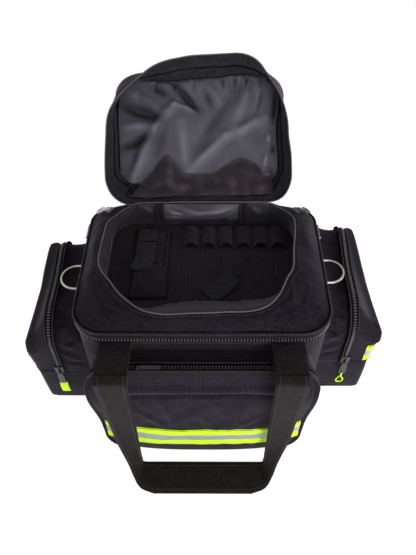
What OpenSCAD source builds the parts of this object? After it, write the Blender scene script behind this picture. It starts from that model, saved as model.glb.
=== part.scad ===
// Soft trauma bag with an open top pocket, two side pockets, a front pocket, two carrying handles and
// a shoulder harness. Millimetres. X is the bag's width, -Y its front, Z up. The origin lies on the
// floor under the middle of the main compartment. The hood of the top pocket is drawn folded back.

/* [Main compartment] */
// Outer width of the main compartment
body_w = 400; // [340:1:460]
// Outer depth of the main compartment
body_d = 277; // [250:1:320]
// Height of the walls, up to the main zip
body_h = 260; // [245:1:300]
// Thickness of the padded walls
body_wall = 6; // [4:0.5:8]
// Plan radius of the front corners
corner_front_r = 50; // [40:1:56]
// Plan radius of the rear corners
corner_rear_r = 35; // [25:1:45]
// Thickness of the base panel
base_t = 5; // [3:0.5:8]
// Thickness of the loose stiffener board on the base
stiffener_t = 3; // [2:0.5:5]

/* [Main lid and top pocket] */
// Height of the main zip between the walls and the lid
zip_gap = 4; // [3.5:0.5:6]
// Height of the lid's upright skirt
skirt_h = 12; // [10:1:18]
// Height of the pocket's opening above the skirt
opening_rise = 24; // [18:1:32]
// Distance from the bag's sides to the opening
opening_side_inset = 36; // [28:1:44]
// Distance from the bag's front to the opening
opening_front_inset = 18.5; // [14:0.5:26]
// Distance from the bag's rear to the opening
opening_rear_inset = 10.5; // [9:0.5:16]
// Plan radius of the opening's rear corners
opening_rear_r = 45; // [35:1:50]
// Plan radius of the opening's sides
opening_side_r = 60; // [50:1:70]
// Plan radius of the opening's front corners
opening_front_r = 65; // [55:1:70]
// Half the distance between the centres of the front corners
opening_front_x = 50; // [40:1:60]
// Depth of the pocket below its opening
pocket_depth = 50; // [46:1:56]
// Thickness of the lid's cloth border
border_t = 3; // [2:0.5:4]
// Thickness of the pocket's floor
floor_t = 3; // [2:0.5:4]
// Diameter of the piping round the lid
piping_d = 5; // [4:0.5:5.5]

/* [Hood] */
// Height of the hood above the opening when it is shut
hood_h = 50; // [40:1:58]
// How far the hood's sides and front lean in
hood_draft = 14; // [10:1:22]
// Plan radius of the hood crown's front corners
crown_r = 40; // [32:1:50]
// How far the hood's hinged side leans in
hood_back_draft = 42; // [36:1:60]
// Angle that the hood is folded back from shut
hood_open = 137; // [125:1:140]
// Thickness of the hood's outer cloth
hood_t = 2; // [1.5:0.5:3]
// Thickness of the hood's lining
lining_t = 1.5; // [1:0.5:2]

/* [Pocket fittings] */
// Number of elastic loops
loop_n = 6; // [4:1:6]
// Distance between neighbouring loops
loop_pitch = 31; // [27:1:32]
// Outer radius of a loop
loop_r = 12.5; // [10:0.5:13]
// Width of the elastic
loop_w = 46; // [30:1:50]
// Thickness of the elastic
loop_t = 1.6; // [1:0.1:2]
// Width of the scissor sheath
sheath_w = 62; // [50:1:66]
// Length of the sheath's backing
sheath_l = 160; // [140:1:165]
// Length of the sheath's sleeve
sleeve_l = 58; // [45:1:70]
// Height of the sheath's sleeve
sleeve_h = 12; // [10:0.5:16]
// Length of the loose keeper tab
tab_l = 54; // [40:1:60]
// Width of the loose keeper tab
tab_w = 34; // [25:1:38]

/* [Side pockets] */
// How far a side pocket stands out
side_w = 102; // [90:1:110]
// Distance from the bag's front to a side pocket
side_front_inset = 43.5; // [36:0.5:60]
// Distance from the bag's rear to a side pocket
side_rear_inset = 38.5; // [36:0.5:60]
// How far the right pocket sits behind the left one
right_set_back = 22; // [0:1:24]
// How far the right ring sits behind the left one
right_ring_back = 14; // [0:1:16]
// Distance from the walls' top edge down to a side pocket
side_top_drop = 25; // [23:1:40]
// Height of the seam where the cover hinges
side_seam = 95; // [80:1:110]
// Distance from the wall to the pocket's zip
side_zip = 57; // [50:1:64]
// Thickness of the side pockets' cloth
side_t = 3; // [2:0.5:4]
// Radius of the pockets' upper corners
side_r = 30; // [22:1:36]
// Width of the reflective bands
band_w = 50; // [40:1:54]

/* [Front pocket] */
// Distance from the bag's sides to the front pocket
front_side_inset = 21; // [18:1:35]
// Distance from the walls' top edge down to the front panel
front_top_drop = 24; // [22:1:40]
// How far the foot of the front panel stands out
front_foot = 68; // [60:1:76]
// Height of the panel's foot above the floor
front_z = 9; // [8.5:0.5:12]
// Backward lean of the front panel
front_lean = 6; // [5:0.5:6.5]
// Radius of the panel's upper corners
front_r = 45; // [35:1:50]
// Thickness of the front panel
panel_t = 4; // [3:0.5:6]
// Height of the reflective band above the panel's foot
front_band_z = 23; // [15:1:40]

/* [Handles] */
// Width of the handle webbing
strap_w = 50; // [40:1:52]
// Thickness of the handle webbing
strap_t = 2.5; // [2:0.5:3]
// Distance between the middles of a handle's two straps
strap_span = 266; // [250:1:280]
// How far the front handle's bend stands out
front_bend = 74; // [72:1:84]
// How far the rear handle's bend stands out
rear_bend = 8.5; // [8:0.5:14]
// Length of the handle's grip, front to back
grip_d = 57; // [50:1:64]

/* [D-rings] */
// Wire diameter of the D-rings
ring_wire = 4; // [3:0.5:5]
// Outer width of the D-rings
ring_w = 55; // [45:1:60]
// Outer reach of the D-rings
ring_l = 42; // [38:1:46]
// Distance from the wall's top edge down to the ring's bar
ring_drop = 16; // [14:0.5:17]

/* [Zips] */
// Length of a slider
slider_l = 14; // [10:1:16]
// Width of a slider
slider_w = 10; // [8:0.5:11]
// Thickness of a slider
slider_t = 4; // [3:0.5:5]
// Radius of the post that carries a pull
post_r = 1; // [0.8:0.1:1.4]
// Length of a plain pull
pull_l = 30; // [22:1:34]
// Length of the side pockets' pulls
side_pull_l = 46; // [36:1:60]
// Diameter of the hood's disc pulls
disc_d = 18; // [14:1:20]

/* [Harness] */
// Width of the back pad
pad_w = 196; // [180:1:200]
// Distance from the walls' top edge down to the back pad
pad_top_drop = 28; // [26:1:50]
// Thickness of the back pad
pad_t = 12; // [8:1:14]
// Width of a shoulder strap
shoulder_w = 62; // [50:1:70]
// Thickness of a shoulder strap
shoulder_t = 10; // [8:1:14]
// Distance between the middles of the shoulder straps
shoulder_span = 124; // [112:1:128]
// Radius of a shoulder strap's bow
shoulder_r = 100; // [92:1:104]
// Width of the lower webbing
web_w = 25; // [20:1:30]

/* [Hidden] */
$fn = 48;
hull_fn = 32;
gap = 0.4;
seat = 0.1;
side_x = body_w / 2;
front_y = -body_d / 2;
rear_y = body_d / 2;
skirt_z = body_h + zip_gap;
rim_z = skirt_z + skirt_h;
opening_z = rim_z + opening_rise;
floor_z = opening_z - pocket_depth;
opening_w = body_w - 2 * opening_side_inset;
opening_back = rear_y - opening_rear_inset;
opening_front = front_y + opening_front_inset;
hinge_z = skirt_z - 0.3;
zip_plane = side_x + side_zip;
zip_slit = 2.6;
side_front = front_y + side_front_inset;
side_rear = rear_y - side_rear_inset;
side_foot = base_t;
side_top = body_h - side_top_drop;
front_w = body_w - 2 * front_side_inset;
front_h = (body_h - front_top_drop - front_z) / cos(front_lean);
strap_x = strap_span / 2;
front_bend_drop = 15.5;
rear_bend_drop = 9;
front_bend_z = body_h - front_bend_drop;
rear_bend_z = body_h - rear_bend_drop;
pad_z = 18;
pad_h = body_h - pad_top_drop - pad_z;
pad_face = rear_y + seat + pad_t;

cloth = "#26232a";
webbing = "#1d191a";
lining = "#5a5860";
lime = "#c4f41e";
silver = "#9a9ea2";
metal = "#8d8a84";

// Plan of the main compartment, grown by d
module body_plan(d = 0) {
    w = side_x + d;
    f = body_d / 2 + d;
    fr = corner_front_r + d;
    rr = corner_rear_r + d;
    polygon([[-w, fr - f], [fr - w, -f], [w - fr, -f], [w, fr - f],
        [w, f - rr], [w - rr, f], [rr - w, f], [-w, f - rr]]);
    for (s = [-1, 1]) {
        translate([s * (w - fr), fr - f]) circle(fr);
        translate([s * (w - rr), f - rr]) circle(rr);
    }
}

// Upright ring on the main compartment's plan, from grown by low to grown by high
module body_ring(low, high, z, h) {
    translate([0, 0, z]) linear_extrude(h) difference() {
        body_plan(high);
        body_plan(low);
    }
}

// Plan of the top pocket's opening, grown by d
module opening_plan(d = 0) {
    hull() for (s = [-1, 1]) {
        translate([s * (opening_w / 2 - opening_rear_r), opening_back - opening_rear_r])
            circle(opening_rear_r + d, $fn = hull_fn);
        translate([s * (opening_w / 2 - opening_side_r), 0]) circle(opening_side_r + d, $fn = hull_fn);
        translate([s * opening_front_x, opening_front + opening_front_r])
            circle(opening_front_r + d, $fn = hull_fn);
    }
}

// Upright ring on the opening's plan
module opening_ring(low, high, z, h) {
    translate([0, 0, z]) linear_extrude(h) difference() {
        opening_plan(high);
        opening_plan(low);
    }
}

// Carries a profile drawn in Y and Z across the width w, centred on x
module across(x, w) {
    translate([x - w / 2, 0, 0]) rotate([90, 0, 90]) linear_extrude(w) children();
}

// Flat run of webbing from a to b, drawn in Y and Z
module run(a, b, t) {
    translate(a) rotate(atan2(b.y - a.y, b.x - a.x)) translate([0, -t / 2]) square([norm(b - a), t]);
}

// Slab between two heights, as wide and deep as the whole bag
module slice(z0, z1) {
    translate([-body_w, -body_w, z0]) cube([2 * body_w, 2 * body_w, z1 - z0]);
}

// Main compartment

module base_panel() {
    color(cloth) linear_extrude(base_t) body_plan();
}

module base_stiffener() {
    color(metal) translate([0, 0, base_t]) linear_extrude(stiffener_t) body_plan(-body_wall - 1);
}

// Wall ring between two depths, up to a height
module wall_part(y0, y1, x0, x1, top) {
    intersection() {
        body_ring(-body_wall, 0, base_t, top - base_t);
        translate([x0, y0, 0]) cube([x1 - x0, y1 - y0, top]);
    }
}

front_turn_y = front_y + corner_front_r;
rear_turn_y = rear_y - corner_rear_r;

module front_wall() {
    color(cloth) wall_part(front_y, front_turn_y, -side_x, side_x, body_h);
}

module rear_wall() {
    color(cloth) wall_part(rear_turn_y, rear_y, -side_x, side_x, hinge_z - 0.2);
}

module left_wall() {
    color(cloth) wall_part(front_turn_y, rear_turn_y, -side_x, 0, body_h);
}

module right_wall() {
    color(cloth) wall_part(front_turn_y, rear_turn_y, 0, side_x, body_h);
}

coil_out = 1.5;
tape_t = 2;

module main_zip() {
    color(webbing) intersection() {
        union() {
            body_ring(-tape_t, 0, body_h, zip_gap - gap);
            body_ring(-tape_t, coil_out, body_h + 1, zip_gap - gap - 2);
        }
        translate([-body_w, -body_d, 0]) cube([2 * body_w, body_d + rear_turn_y, skirt_z]);
    }
}

// Main lid with the top pocket

module lid_border() {
    color(cloth) difference() {
        hull() {
            translate([0, 0, skirt_z]) linear_extrude(skirt_h) body_plan();
            translate([0, 0, opening_z - 0.5]) linear_extrude(0.5) opening_plan(border_t);
        }
        hull() {
            translate([0, 0, skirt_z - 1]) linear_extrude(skirt_h - border_t + 1) body_plan(-border_t);
            translate([0, 0, opening_z - border_t]) linear_extrude(0.1) opening_plan(0);
        }
        translate([0, 0, skirt_z - 2]) linear_extrude(skirt_h + opening_rise + 4) opening_plan(0);
    }
}

module lid_piping() {
    color(webbing) body_ring(seat, piping_d / 2, rim_z - piping_d, piping_d);
}

coil_h = 3;
liner_t = 1.7;
liner_out = 0.3;

module pocket_lining() {
    color(webbing) opening_ring(-liner_out - liner_t, -liner_out, floor_z, pocket_depth - coil_h - seat);
}

module pocket_floor() {
    color(webbing) translate([0, 0, floor_z - floor_t]) linear_extrude(floor_t) opening_plan(0);
}

module pocket_zip() {
    color(metal) opening_ring(-liner_out - 2.2, -liner_out, opening_z - coil_h, coil_h - 0.2);
}

loop_side_inset = 31;
fittings_inset = 20;
loop_x = opening_w / 2 - loop_side_inset - (loop_n - 1) * loop_pitch;
loop_y = opening_back - fittings_inset - loop_w;

module elastic_loops() {
    color(webbing) for (k = [0 : loop_n - 1])
        translate([loop_x + k * loop_pitch, loop_y, floor_z]) rotate([-90, 0, 0]) linear_extrude(loop_w)
            intersection() {
                difference() {
                    circle(loop_r);
                    circle(loop_r - loop_t);
                }
                translate([-loop_r, -loop_r]) square([2 * loop_r, loop_r]);
            }
}

sheath_side_inset = 43;
sheath_x = sheath_side_inset - opening_w / 2;
sheath_y = opening_back - fittings_inset - sheath_l;
backing_t = 2;
sleeve_rise = 8;
sleeve_y = sheath_y + sleeve_rise;
sleeve_t = 2;
sheath_strap_w = 34;
strap_margin = 1;
strap_hem = 12;

// Cross-section of the sleeve, inset by d
module sleeve_profile(d) {
    r = sleeve_h - d;
    translate([d, -r]) square([sheath_w - 2 * d, r]);
}

module scissor_sheath() {
    color(cloth) {
        translate([sheath_x, sheath_y, floor_z]) cube([sheath_w, sheath_l, backing_t]);
        translate([sheath_x, sleeve_y, floor_z + backing_t]) rotate([-90, 0, 0]) difference() {
            linear_extrude(sleeve_l) sleeve_profile(0);
            translate([0, 0, sleeve_t]) linear_extrude(sleeve_l) sleeve_profile(sleeve_t);
        }
    }
}

module sheath_strap() {
    color(webbing) {
        translate([sheath_x + strap_margin, sleeve_y + sleeve_l + strap_margin, floor_z + backing_t])
            cube([sheath_strap_w, sheath_l - sleeve_rise - sleeve_l - 2 * strap_margin, strap_t]);
        translate([sheath_x + strap_margin, sheath_y + sheath_l - strap_hem - 2 * strap_margin,
            floor_z + backing_t + strap_t]) cube([sheath_strap_w, strap_hem, strap_t]);
    }
}

tab_at = [30, -32];
tab_turn = 43;

module keeper_tab() {
    color(webbing) translate([tab_at.x, tab_at.y, floor_z + 2 * gap]) rotate([0, 0, tab_turn])
        translate([-tab_l / 2, -tab_w / 2, 0]) cube([tab_l, tab_w, strap_t]);
}

strip_h = 34;
strip_t = 2;
strip_y = opening_back - liner_out - liner_t - seat;
strip_w = opening_w - 2 * opening_rear_r - 2;
hinge_tape_w = 16;
hinge_tape_t = 1.2;
left_tape_x = 78;
right_tape_x = 72;

module hinge_strip() {
    color(lining) translate([-strip_w / 2, strip_y - strip_t, opening_z - coil_h - seat - strip_h])
        cube([strip_w, strip_t, strip_h]);
}

module hinge_tapes() {
    color(webbing) for (x = [-left_tape_x, right_tape_x])
        translate([x - hinge_tape_w / 2, strip_y - strip_t - hinge_tape_t - seat,
            opening_z - coil_h - seat - strip_h]) cube([hinge_tape_w, hinge_tape_t, strip_h]);
}

// Hood, drawn shut and then folded back about the opening's rear edge

hood_axis_y = opening_back + border_t;
hood_edge = border_t - gap;
hood_foot = opening_z + 0.5;
zip_break = 20;

module folded_back() {
    translate([0, hood_axis_y, opening_z]) rotate([-hood_open, 0, 0])
        translate([0, -hood_axis_y, -opening_z]) children();
}

// Plan of the hood's crown, grown by d
module crown_plan(d) {
    side = opening_w / 2 - hood_draft;
    rear_r = opening_rear_r - hood_draft;
    hull() for (s = [-1, 1]) {
        translate([s * (side - rear_r), opening_back - hood_back_draft - rear_r])
            circle(rear_r + d, $fn = hull_fn);
        translate([s * (side - crown_r), opening_front + hood_draft + crown_r])
            circle(crown_r + d, $fn = hull_fn);
    }
}

// Outer form of the hood, shrunk by d and let down by drop
module hood_form(d, drop = 0) {
    hull() {
        translate([0, 0, hood_foot - drop]) linear_extrude(2 + drop) opening_plan(hood_edge - d);
        translate([0, 0, opening_z + hood_h - d - 1]) linear_extrude(1) crown_plan(-d);
    }
}

module hood_shell() {
    color(cloth) folded_back() difference() {
        hood_form(0);
        hood_form(hood_t, 1);
    }
}

module hood_lining() {
    color(lining) folded_back() difference() {
        hood_form(hood_t + seat);
        hood_form(hood_t + seat + lining_t, 1);
        translate([0, 0, hood_foot - 1]) linear_extrude(1 + coil_h) opening_plan(hood_edge);
    }
}

module hood_zip() {
    color(metal) folded_back() difference() {
        opening_ring(hood_edge - hood_t - 2.2, hood_edge - hood_t - 1, hood_foot, coil_h - seat);
        translate([-strip_w / 2, opening_back - zip_break, hood_foot - 1])
            cube([strip_w, 2 * zip_break, coil_h + 2]);
    }
}

// Zip sliders and pulls. Each is drawn with its seat at z = 0, travelling along Y, outward along Z

pull_t = 2;
pull_w = 7;
post_h = pull_t + 2 * gap;
pull_z = gap + slider_t + gap;
pull_fit = 0.2;
neck_l = 8;

module slider() {
    translate([0, 0, gap]) {
        linear_extrude(slider_t) polygon([[-slider_w / 2, slider_l / 2], [slider_w / 2, slider_l / 2],
            [slider_w / 3, -slider_l / 2], [-slider_w / 3, -slider_l / 2]]);
        translate([0, 0, slider_t]) cylinder(r = post_r, h = post_h);
        translate([0, 0, slider_t + post_h]) cylinder(r = 2 * post_r, h = 1);
    }
}

// Flat pull on the post, reaching along -Y
module pull(l, w = pull_w) {
    translate([0, 0, pull_z]) linear_extrude(pull_t) difference() {
        union() {
            circle(w / 2);
            translate([-w / 2, -l]) square([w, l]);
        }
        circle(post_r + pull_fit);
    }
}

// Round pull with a narrow neck and a finger hole
module disc_pull() {
    neck = disc_d / 2 + neck_l;
    translate([0, 0, pull_z]) linear_extrude(pull_t) difference() {
        union() {
            circle(pull_w / 2);
            translate([-pull_w / 2, -neck]) square([pull_w, neck]);
            translate([0, -neck - disc_d / 4]) circle(disc_d / 2);
        }
        circle(post_r + pull_fit);
        translate([0, -neck - disc_d / 4]) circle(disc_d / 5);
    }
}

module mirrored(s) {
    mirror([s < 0 ? 1 : 0, 0, 0]) children();
}

// Seat on the border's slope at the opening's rear corner, X running down the slope
slope_turn = 30;
slope_step = slider_w / 2 + 3;

module on_border(s) {
    out = [cos(slope_turn), sin(slope_turn)];
    top = [opening_w / 2 - opening_rear_r, opening_back - opening_rear_r] + (opening_rear_r + border_t) * out;
    foot = [side_x - corner_rear_r, rear_y - corner_rear_r] + corner_rear_r * out;
    mirrored(s) translate([top.x, top.y, opening_z]) rotate([0, 0, slope_turn])
        rotate([0, atan(opening_rise / ((foot - top) * out)), 0]) translate([slope_step, 0, 0]) children();
}

module hood_sliders() {
    color(metal) for (s = [-1, 1]) on_border(s) slider();
}

module left_hood_pull() {
    color("#d8d8d6") on_border(-1) rotate([0, 0, 90]) disc_pull();
}

module right_hood_pull() {
    color("#6b6a68") on_border(1) rotate([0, 0, 90]) disc_pull();
}

// Front pocket, drawn in the frame of its leaning front face

foot_r = 12;
slit = panel_t + gap;
coil_t = 1.2;

module front_face() {
    translate([0, front_y - front_foot, front_z]) rotate([90 - front_lean, 0, 0]) children();
}

// Outline of the front panel, shrunk by d
module front_plan(d = 0) {
    w = front_w / 2 - d;
    r = front_r - d;
    b = foot_r - d;
    h = front_h - d;
    polygon([[-w, d + b], [b - w, d], [w - b, d], [w, d + b],
        [w, h - r], [w - r, h], [r - w, h], [-w, h - r]]);
    for (s = [-1, 1]) {
        translate([s * (w - r), h - r]) circle(r);
        translate([s * (w - b), d + b]) circle(b);
    }
}

// Main compartment as one mass, to cut what is sewn against it
module body_mass() {
    translate([0, 0, -body_h]) linear_extrude(2 * body_h + skirt_h) body_plan(seat);
}

// Hem of the front pocket, from the panel's slit back to the main compartment
module front_hem(y0, y1, start) {
    reach = front_foot + corner_front_r / 2;
    difference() {
        front_face() translate([0, 0, -reach]) linear_extrude(reach - start) intersection() {
            difference() {
                front_plan();
                front_plan(side_t);
            }
            translate([-body_w, y0]) square([2 * body_w, y1 - y0]);
        }
        body_mass();
    }
}

module front_pocket_gusset() {
    color(cloth) front_hem(0, front_h - front_r, slit);
}

module front_pocket_top() {
    color(cloth) front_hem(front_h - front_r, front_h, slit + coil_t);
}

module front_pocket_zip() {
    color(webbing) front_face() translate([0, 0, -slit - coil_t]) linear_extrude(coil_t) intersection() {
        difference() {
            front_plan();
            front_plan(side_t);
        }
        translate([-body_w, front_h - front_r]) square([2 * body_w, front_r]);
    }
}

front_slider_x = 92;

module on_front_zip() {
    front_face() translate([-front_slider_x, front_h, -slit - coil_t / 2]) rotate([-90, 0, 0])
        rotate([0, 0, 90]) children();
}

module front_slider() {
    color(webbing) on_front_zip() slider();
}

module front_pull() {
    color(webbing) on_front_zip() pull(pull_l);
}

module front_panel() {
    color(cloth) front_face() translate([0, 0, -panel_t]) linear_extrude(panel_t) front_plan();
}

band_t = 0.8;

module front_band() {
    color(lime) front_face() translate([-front_w / 2, front_band_z, 0]) cube([front_w, band_w, band_t]);
}

module front_band_ends() {
    reach = front_foot + corner_front_r / 2;
    color(lime) difference() {
        front_face() for (s = [-1, 1]) mirrored(s)
            translate([front_w / 2, front_band_z, -reach]) cube([band_t, band_w, reach - slit]);
        body_mass();
    }
}

// Side pockets, drawn on the right and mirrored to the left

side_fall = 11;
side_shoulder = 26;
side_brow = 40;
side_round = 6;
side_plan_r = 22;

// Sets a piece of the right pocket back
module right_set() {
    translate([0, right_set_back, 0]) children();
}

// End view of a side pocket, in Y and Z, grown by d
module side_end(d) {
    r = side_r + d;
    y0 = side_front - d;
    y1 = side_rear + d;
    top = side_top + d;
    translate([y0, side_foot - d]) square([y1 - y0, top - r - side_foot + d]);
    translate([y0 + r, side_foot - d]) square([y1 - y0 - 2 * r, top - side_foot + d]);
    for (y = [y0 + r, y1 - r]) translate([y, top - r]) circle(r);
}

// Front view of a side pocket, in X and Z, grown by d
module side_profile(d, back) {
    foot = side_foot - d;
    top = side_top + d;
    w = side_w + d;
    polygon([[-back, foot], [w - side_round, foot], [w, foot + side_round], [w, top - side_brow],
        [w - side_round, top - side_shoulder], [side_zip, top - side_fall], [0, top], [-back, top]]);
}

// Plan of a side pocket, in X and Y, grown by d
module side_plan(d, back) {
    r = side_plan_r + d;
    y0 = side_front - d;
    y1 = side_rear + d;
    w = side_w + d;
    translate([-back, y0]) square([w - r + back, y1 - y0]);
    translate([0, y0 + r]) square([w, y1 - y0 - 2 * r]);
    for (y = [y0 + r, y1 - r]) translate([w - r, y]) circle(r);
}

// Outer form of a side pocket, grown by d, its back face let into the wall by back
module side_form(d = 0, back = 0) {
    translate([side_x, 0, 0]) intersection() {
        translate([-back, 0, 0]) rotate([90, 0, 90]) linear_extrude(2 * side_w) side_end(d);
        translate([0, body_d, 0]) rotate([90, 0, 0]) linear_extrude(2 * body_d) side_profile(d, back);
        linear_extrude(body_h) side_plan(d, back);
    }
}

// Cloth of a side pocket, let into the wall by back
module side_skin(back = 0) {
    difference() {
        side_form(0, back);
        side_form(-side_t, back + 1);
    }
}

// Room of the cover: everything outside the zip and above the seam
module cover_room(inset, rise) {
    translate([zip_plane + inset, -body_d, side_seam + rise]) cube([side_w, 2 * body_d, body_h]);
}

module side_tub(back = 0) {
    difference() {
        side_skin(back);
        cover_room(-zip_slit / 2, -gap);
    }
}

module side_cover() {
    intersection() {
        side_skin();
        cover_room(zip_slit / 2, 0);
    }
}

side_coil = 0.8;

module side_zip_coil() {
    intersection() {
        difference() {
            side_form(side_coil);
            side_form(-tape_t);
        }
        translate([zip_plane - zip_slit / 2, -body_d, side_seam]) cube([zip_slit - gap, 2 * body_d, body_h]);
    }
}

side_band_rise = 20;
side_band_z = side_seam + side_band_rise;
side_band_inset = 6;

module side_band() {
    intersection() {
        difference() {
            side_form(band_t + seat);
            side_form(seat);
        }
        translate([side_x + side_w - 2 * side_round, side_front + side_band_inset, side_band_z])
            cube([4 * side_round, side_rear - side_front - 2 * side_band_inset, band_w]);
    }
}

slider_rise = 12;

// Seat on the front stretch of a side pocket's zip
module on_side_zip(s) {
    mirrored(s) translate([zip_plane, side_front - side_coil, side_seam + slider_rise]) rotate([90, 0, 0])
        children();
}

tag_w = 13;
tag_l = 16;

// What hangs from the end of a side pocket's pull
module pull_end(w, l) {
    translate([-w / 2, -side_pull_l - seat - l, pull_z]) cube([w, l, pull_t]);
}

module left_pocket_tub() { color(cloth) mirrored(-1) side_tub(); }
module right_pocket_tub() {
    color(cloth) difference() {
        right_set() side_tub(corner_rear_r / 2);
        body_mass();
    }
}
module left_pocket_cover() { color(cloth) mirrored(-1) side_cover(); }
module right_pocket_cover() { color(cloth) right_set() side_cover(); }
module left_pocket_zip() { color(webbing) mirrored(-1) side_zip_coil(); }
module right_pocket_zip() { color(webbing) right_set() side_zip_coil(); }
module left_pocket_band() { color(lime) mirrored(-1) side_band(); }
module right_pocket_band() { color(lime) right_set() side_band(); }
module left_slider() { color(webbing) on_side_zip(-1) slider(); }
module right_slider() { color(webbing) right_set() on_side_zip(1) slider(); }
module left_pull() { color(webbing) on_side_zip(-1) pull(side_pull_l); }
module right_pull() { color(webbing) right_set() on_side_zip(1) pull(side_pull_l); }
module left_pull_tag() { color(lime) on_side_zip(-1) pull_end(tag_w, tag_l); }
module right_pull_cord() { color(lime) right_set() on_side_zip(1) pull_end(pull_w, tag_l); }

// Carrying handles

anchor_h = 18;
anchor_drop = 6;
anchor_top = body_h - anchor_drop;
bend_gap = 0.7;

// Sewn end of a strap and its fixed run out to the bend, drawn in Y and Z
module anchor_profile(wall, out, bend_z) {
    face = wall + seat + strap_t / 2;
    run([face, anchor_top - anchor_h], [face, anchor_top], strap_t);
    run([face, anchor_top - strap_t], [wall + out - strap_t / 2 - bend_gap, bend_z + bend_gap], strap_t);
}

module handle_anchors() {
    color(webbing) for (x = [-strap_x, strap_x]) {
        mirror([0, 1, 0]) across(x, strap_w) anchor_profile(rear_y, front_bend, front_bend_z);
        across(x, strap_w) anchor_profile(rear_y, rear_bend, rear_bend_z);
    }
}

floor_gap = 0.1;
mid_z = 130;
mid_out = 6;
foot_out = 12;
strap_taper = 5;
corner_in = 12;
corner_out = 38;

module corner_bead(p) {
    translate(p) sphere(strap_t / 2, $fn = 12);
}

// Flat piece of webbing with its four corners at a list of points
module webbing_patch(points) {
    hull() for (p = points) corner_bead(p);
}

// Hanging handle with its bend at y, z and its grip lying on the floor behind
module handle(y, z) {
    low = floor_gap + strap_t / 2;
    inner = strap_x - strap_w / 2;
    outer = strap_x + strap_w / 2;
    corner = inner + strap_taper;
    foot = y + foot_out;
    for (s = [-1, 1]) {
        webbing_patch([[s * inner, y, z], [s * outer, y, z],
            [s * inner, y + mid_out, mid_z], [s * outer, y + mid_out, mid_z]]);
        webbing_patch([[s * inner, y + mid_out, mid_z], [s * outer, y + mid_out, mid_z],
            [s * corner, foot, low], [s * (corner - corner_in), foot + corner_out, low]]);
    }
    translate([0, 0, floor_gap]) linear_extrude(strap_t) intersection() {
        union() {
            translate([corner_out - corner, foot]) square([2 * (corner - corner_out), grip_d]);
            translate([-corner, foot]) square([2 * corner, grip_d - corner_out]);
            for (s = [-1, 1]) translate([s * (corner - corner_out), foot + grip_d - corner_out])
                circle(corner_out);
        }
        translate([-corner, foot]) square([2 * corner, grip_d]);
    }
}

module front_handle() {
    color(webbing) mirror([0, 1, 0]) handle(rear_y + front_bend, front_bend_z);
}

module rear_handle() {
    color(webbing) handle(rear_y + rear_bend, rear_bend_z);
}

// D-rings

ring_fit = 0.3;
tab_t = 2.2;
tab_room = 5;
tab_loop_r = ring_wire / 2 + ring_fit + tab_t;
ring_z = body_h - ring_drop;
ring_x = side_x + seat + tab_loop_r;
ring_tab_w = ring_w - 4 * ring_wire;

module ring_tab() {
    difference() {
        union() {
            translate([side_x + seat, -ring_tab_w / 2, ring_z])
                cube([tab_t, ring_tab_w, ring_drop - tab_room]);
            translate([ring_x, 0, ring_z]) rotate([90, 0, 0])
                cylinder(r = tab_loop_r, h = ring_tab_w, center = true);
        }
        translate([ring_x, 0, ring_z]) rotate([90, 0, 0])
            cylinder(r = ring_wire / 2 + ring_fit, h = ring_w, center = true);
    }
}

module ring_tabs() {
    color(webbing) {
        mirrored(-1) ring_tab();
        translate([0, right_ring_back, 0]) ring_tab();
    }
}

module d_ring() {
    bow = (ring_w - ring_wire) / 2;
    leg = ring_l - ring_wire - bow;
    translate([ring_x, 0, ring_z]) {
        rotate([90, 0, 0]) cylinder(d = ring_wire, h = 2 * bow, center = true);
        for (s = [-1, 1]) translate([0, s * bow, 0]) {
            sphere(d = ring_wire);
            rotate([0, 90, 0]) cylinder(d = ring_wire, h = leg);
        }
        translate([leg, 0, 0]) rotate([0, 0, -90]) rotate_extrude(angle = 180) translate([bow, 0])
            circle(d = ring_wire);
    }
}

module left_ring() { color(metal) mirrored(-1) d_ring(); }
module right_ring() { color(metal) translate([0, right_ring_back, 0]) d_ring(); }

// Sliders of the main zip, parked towards the rear

main_slider_inset = 25;
main_slider_y = rear_turn_y - main_slider_inset;

module on_main_zip(s) {
    mirrored(s) translate([side_x + coil_out, main_slider_y, body_h + (zip_gap - gap) / 2]) rotate([0, 90, 0])
        children();
}

module left_main_slider() { color(metal) on_main_zip(-1) slider(); }
module right_main_slider() { color(metal) on_main_zip(1) slider(); }
module left_main_pull() { color(metal) on_main_zip(-1) rotate([0, 0, 180]) pull(pull_l); }
module right_main_pull() { color(metal) on_main_zip(1) rotate([0, 0, 180]) pull(pull_l); }

// Harness on the back

pad_r = 25;

module back_pad() {
    w = pad_w / 2;
    color(cloth) translate([0, pad_face, pad_z]) rotate([90, 0, 0]) linear_extrude(pad_t) {
        translate([-w, pad_r]) square([pad_w, pad_h - 2 * pad_r]);
        translate([pad_r - w, 0]) square([pad_w - 2 * pad_r, pad_h]);
        for (x = [pad_r - w, w - pad_r]) for (z = [pad_r, pad_h - pad_r]) translate([x, z]) circle(pad_r);
    }
}

bow_out = 30;
bow_y = pad_face + bow_out - shoulder_r;
bow_drop = 78;
bow_z = pad_z + pad_h - bow_drop;
bow_foot = bow_z - sqrt(shoulder_r * shoulder_r - pow(shoulder_r - bow_out, 2));

module shoulder_straps() {
    color(cloth) for (s = [-1, 1]) across(s * shoulder_span / 2, shoulder_w) intersection() {
        translate([bow_y, bow_z]) difference() {
            circle(shoulder_r);
            circle(shoulder_r - shoulder_t);
        }
        translate([pad_face + seat, 0]) square([shoulder_r, body_h]);
    }
}

web_t = 2.2;
web_rise = 6;
web_foot = pad_z + web_rise;

module lower_straps() {
    color(webbing) for (s = [-1, 1]) translate([s * shoulder_span / 2 - web_w / 2, pad_face + seat, web_foot])
        cube([web_w, web_t, bow_foot - gap - web_foot]);
}

buckle_h = 24;
buckle_t = 3;
buckle_bar = 4;
buckle_drop = 6;

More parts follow.
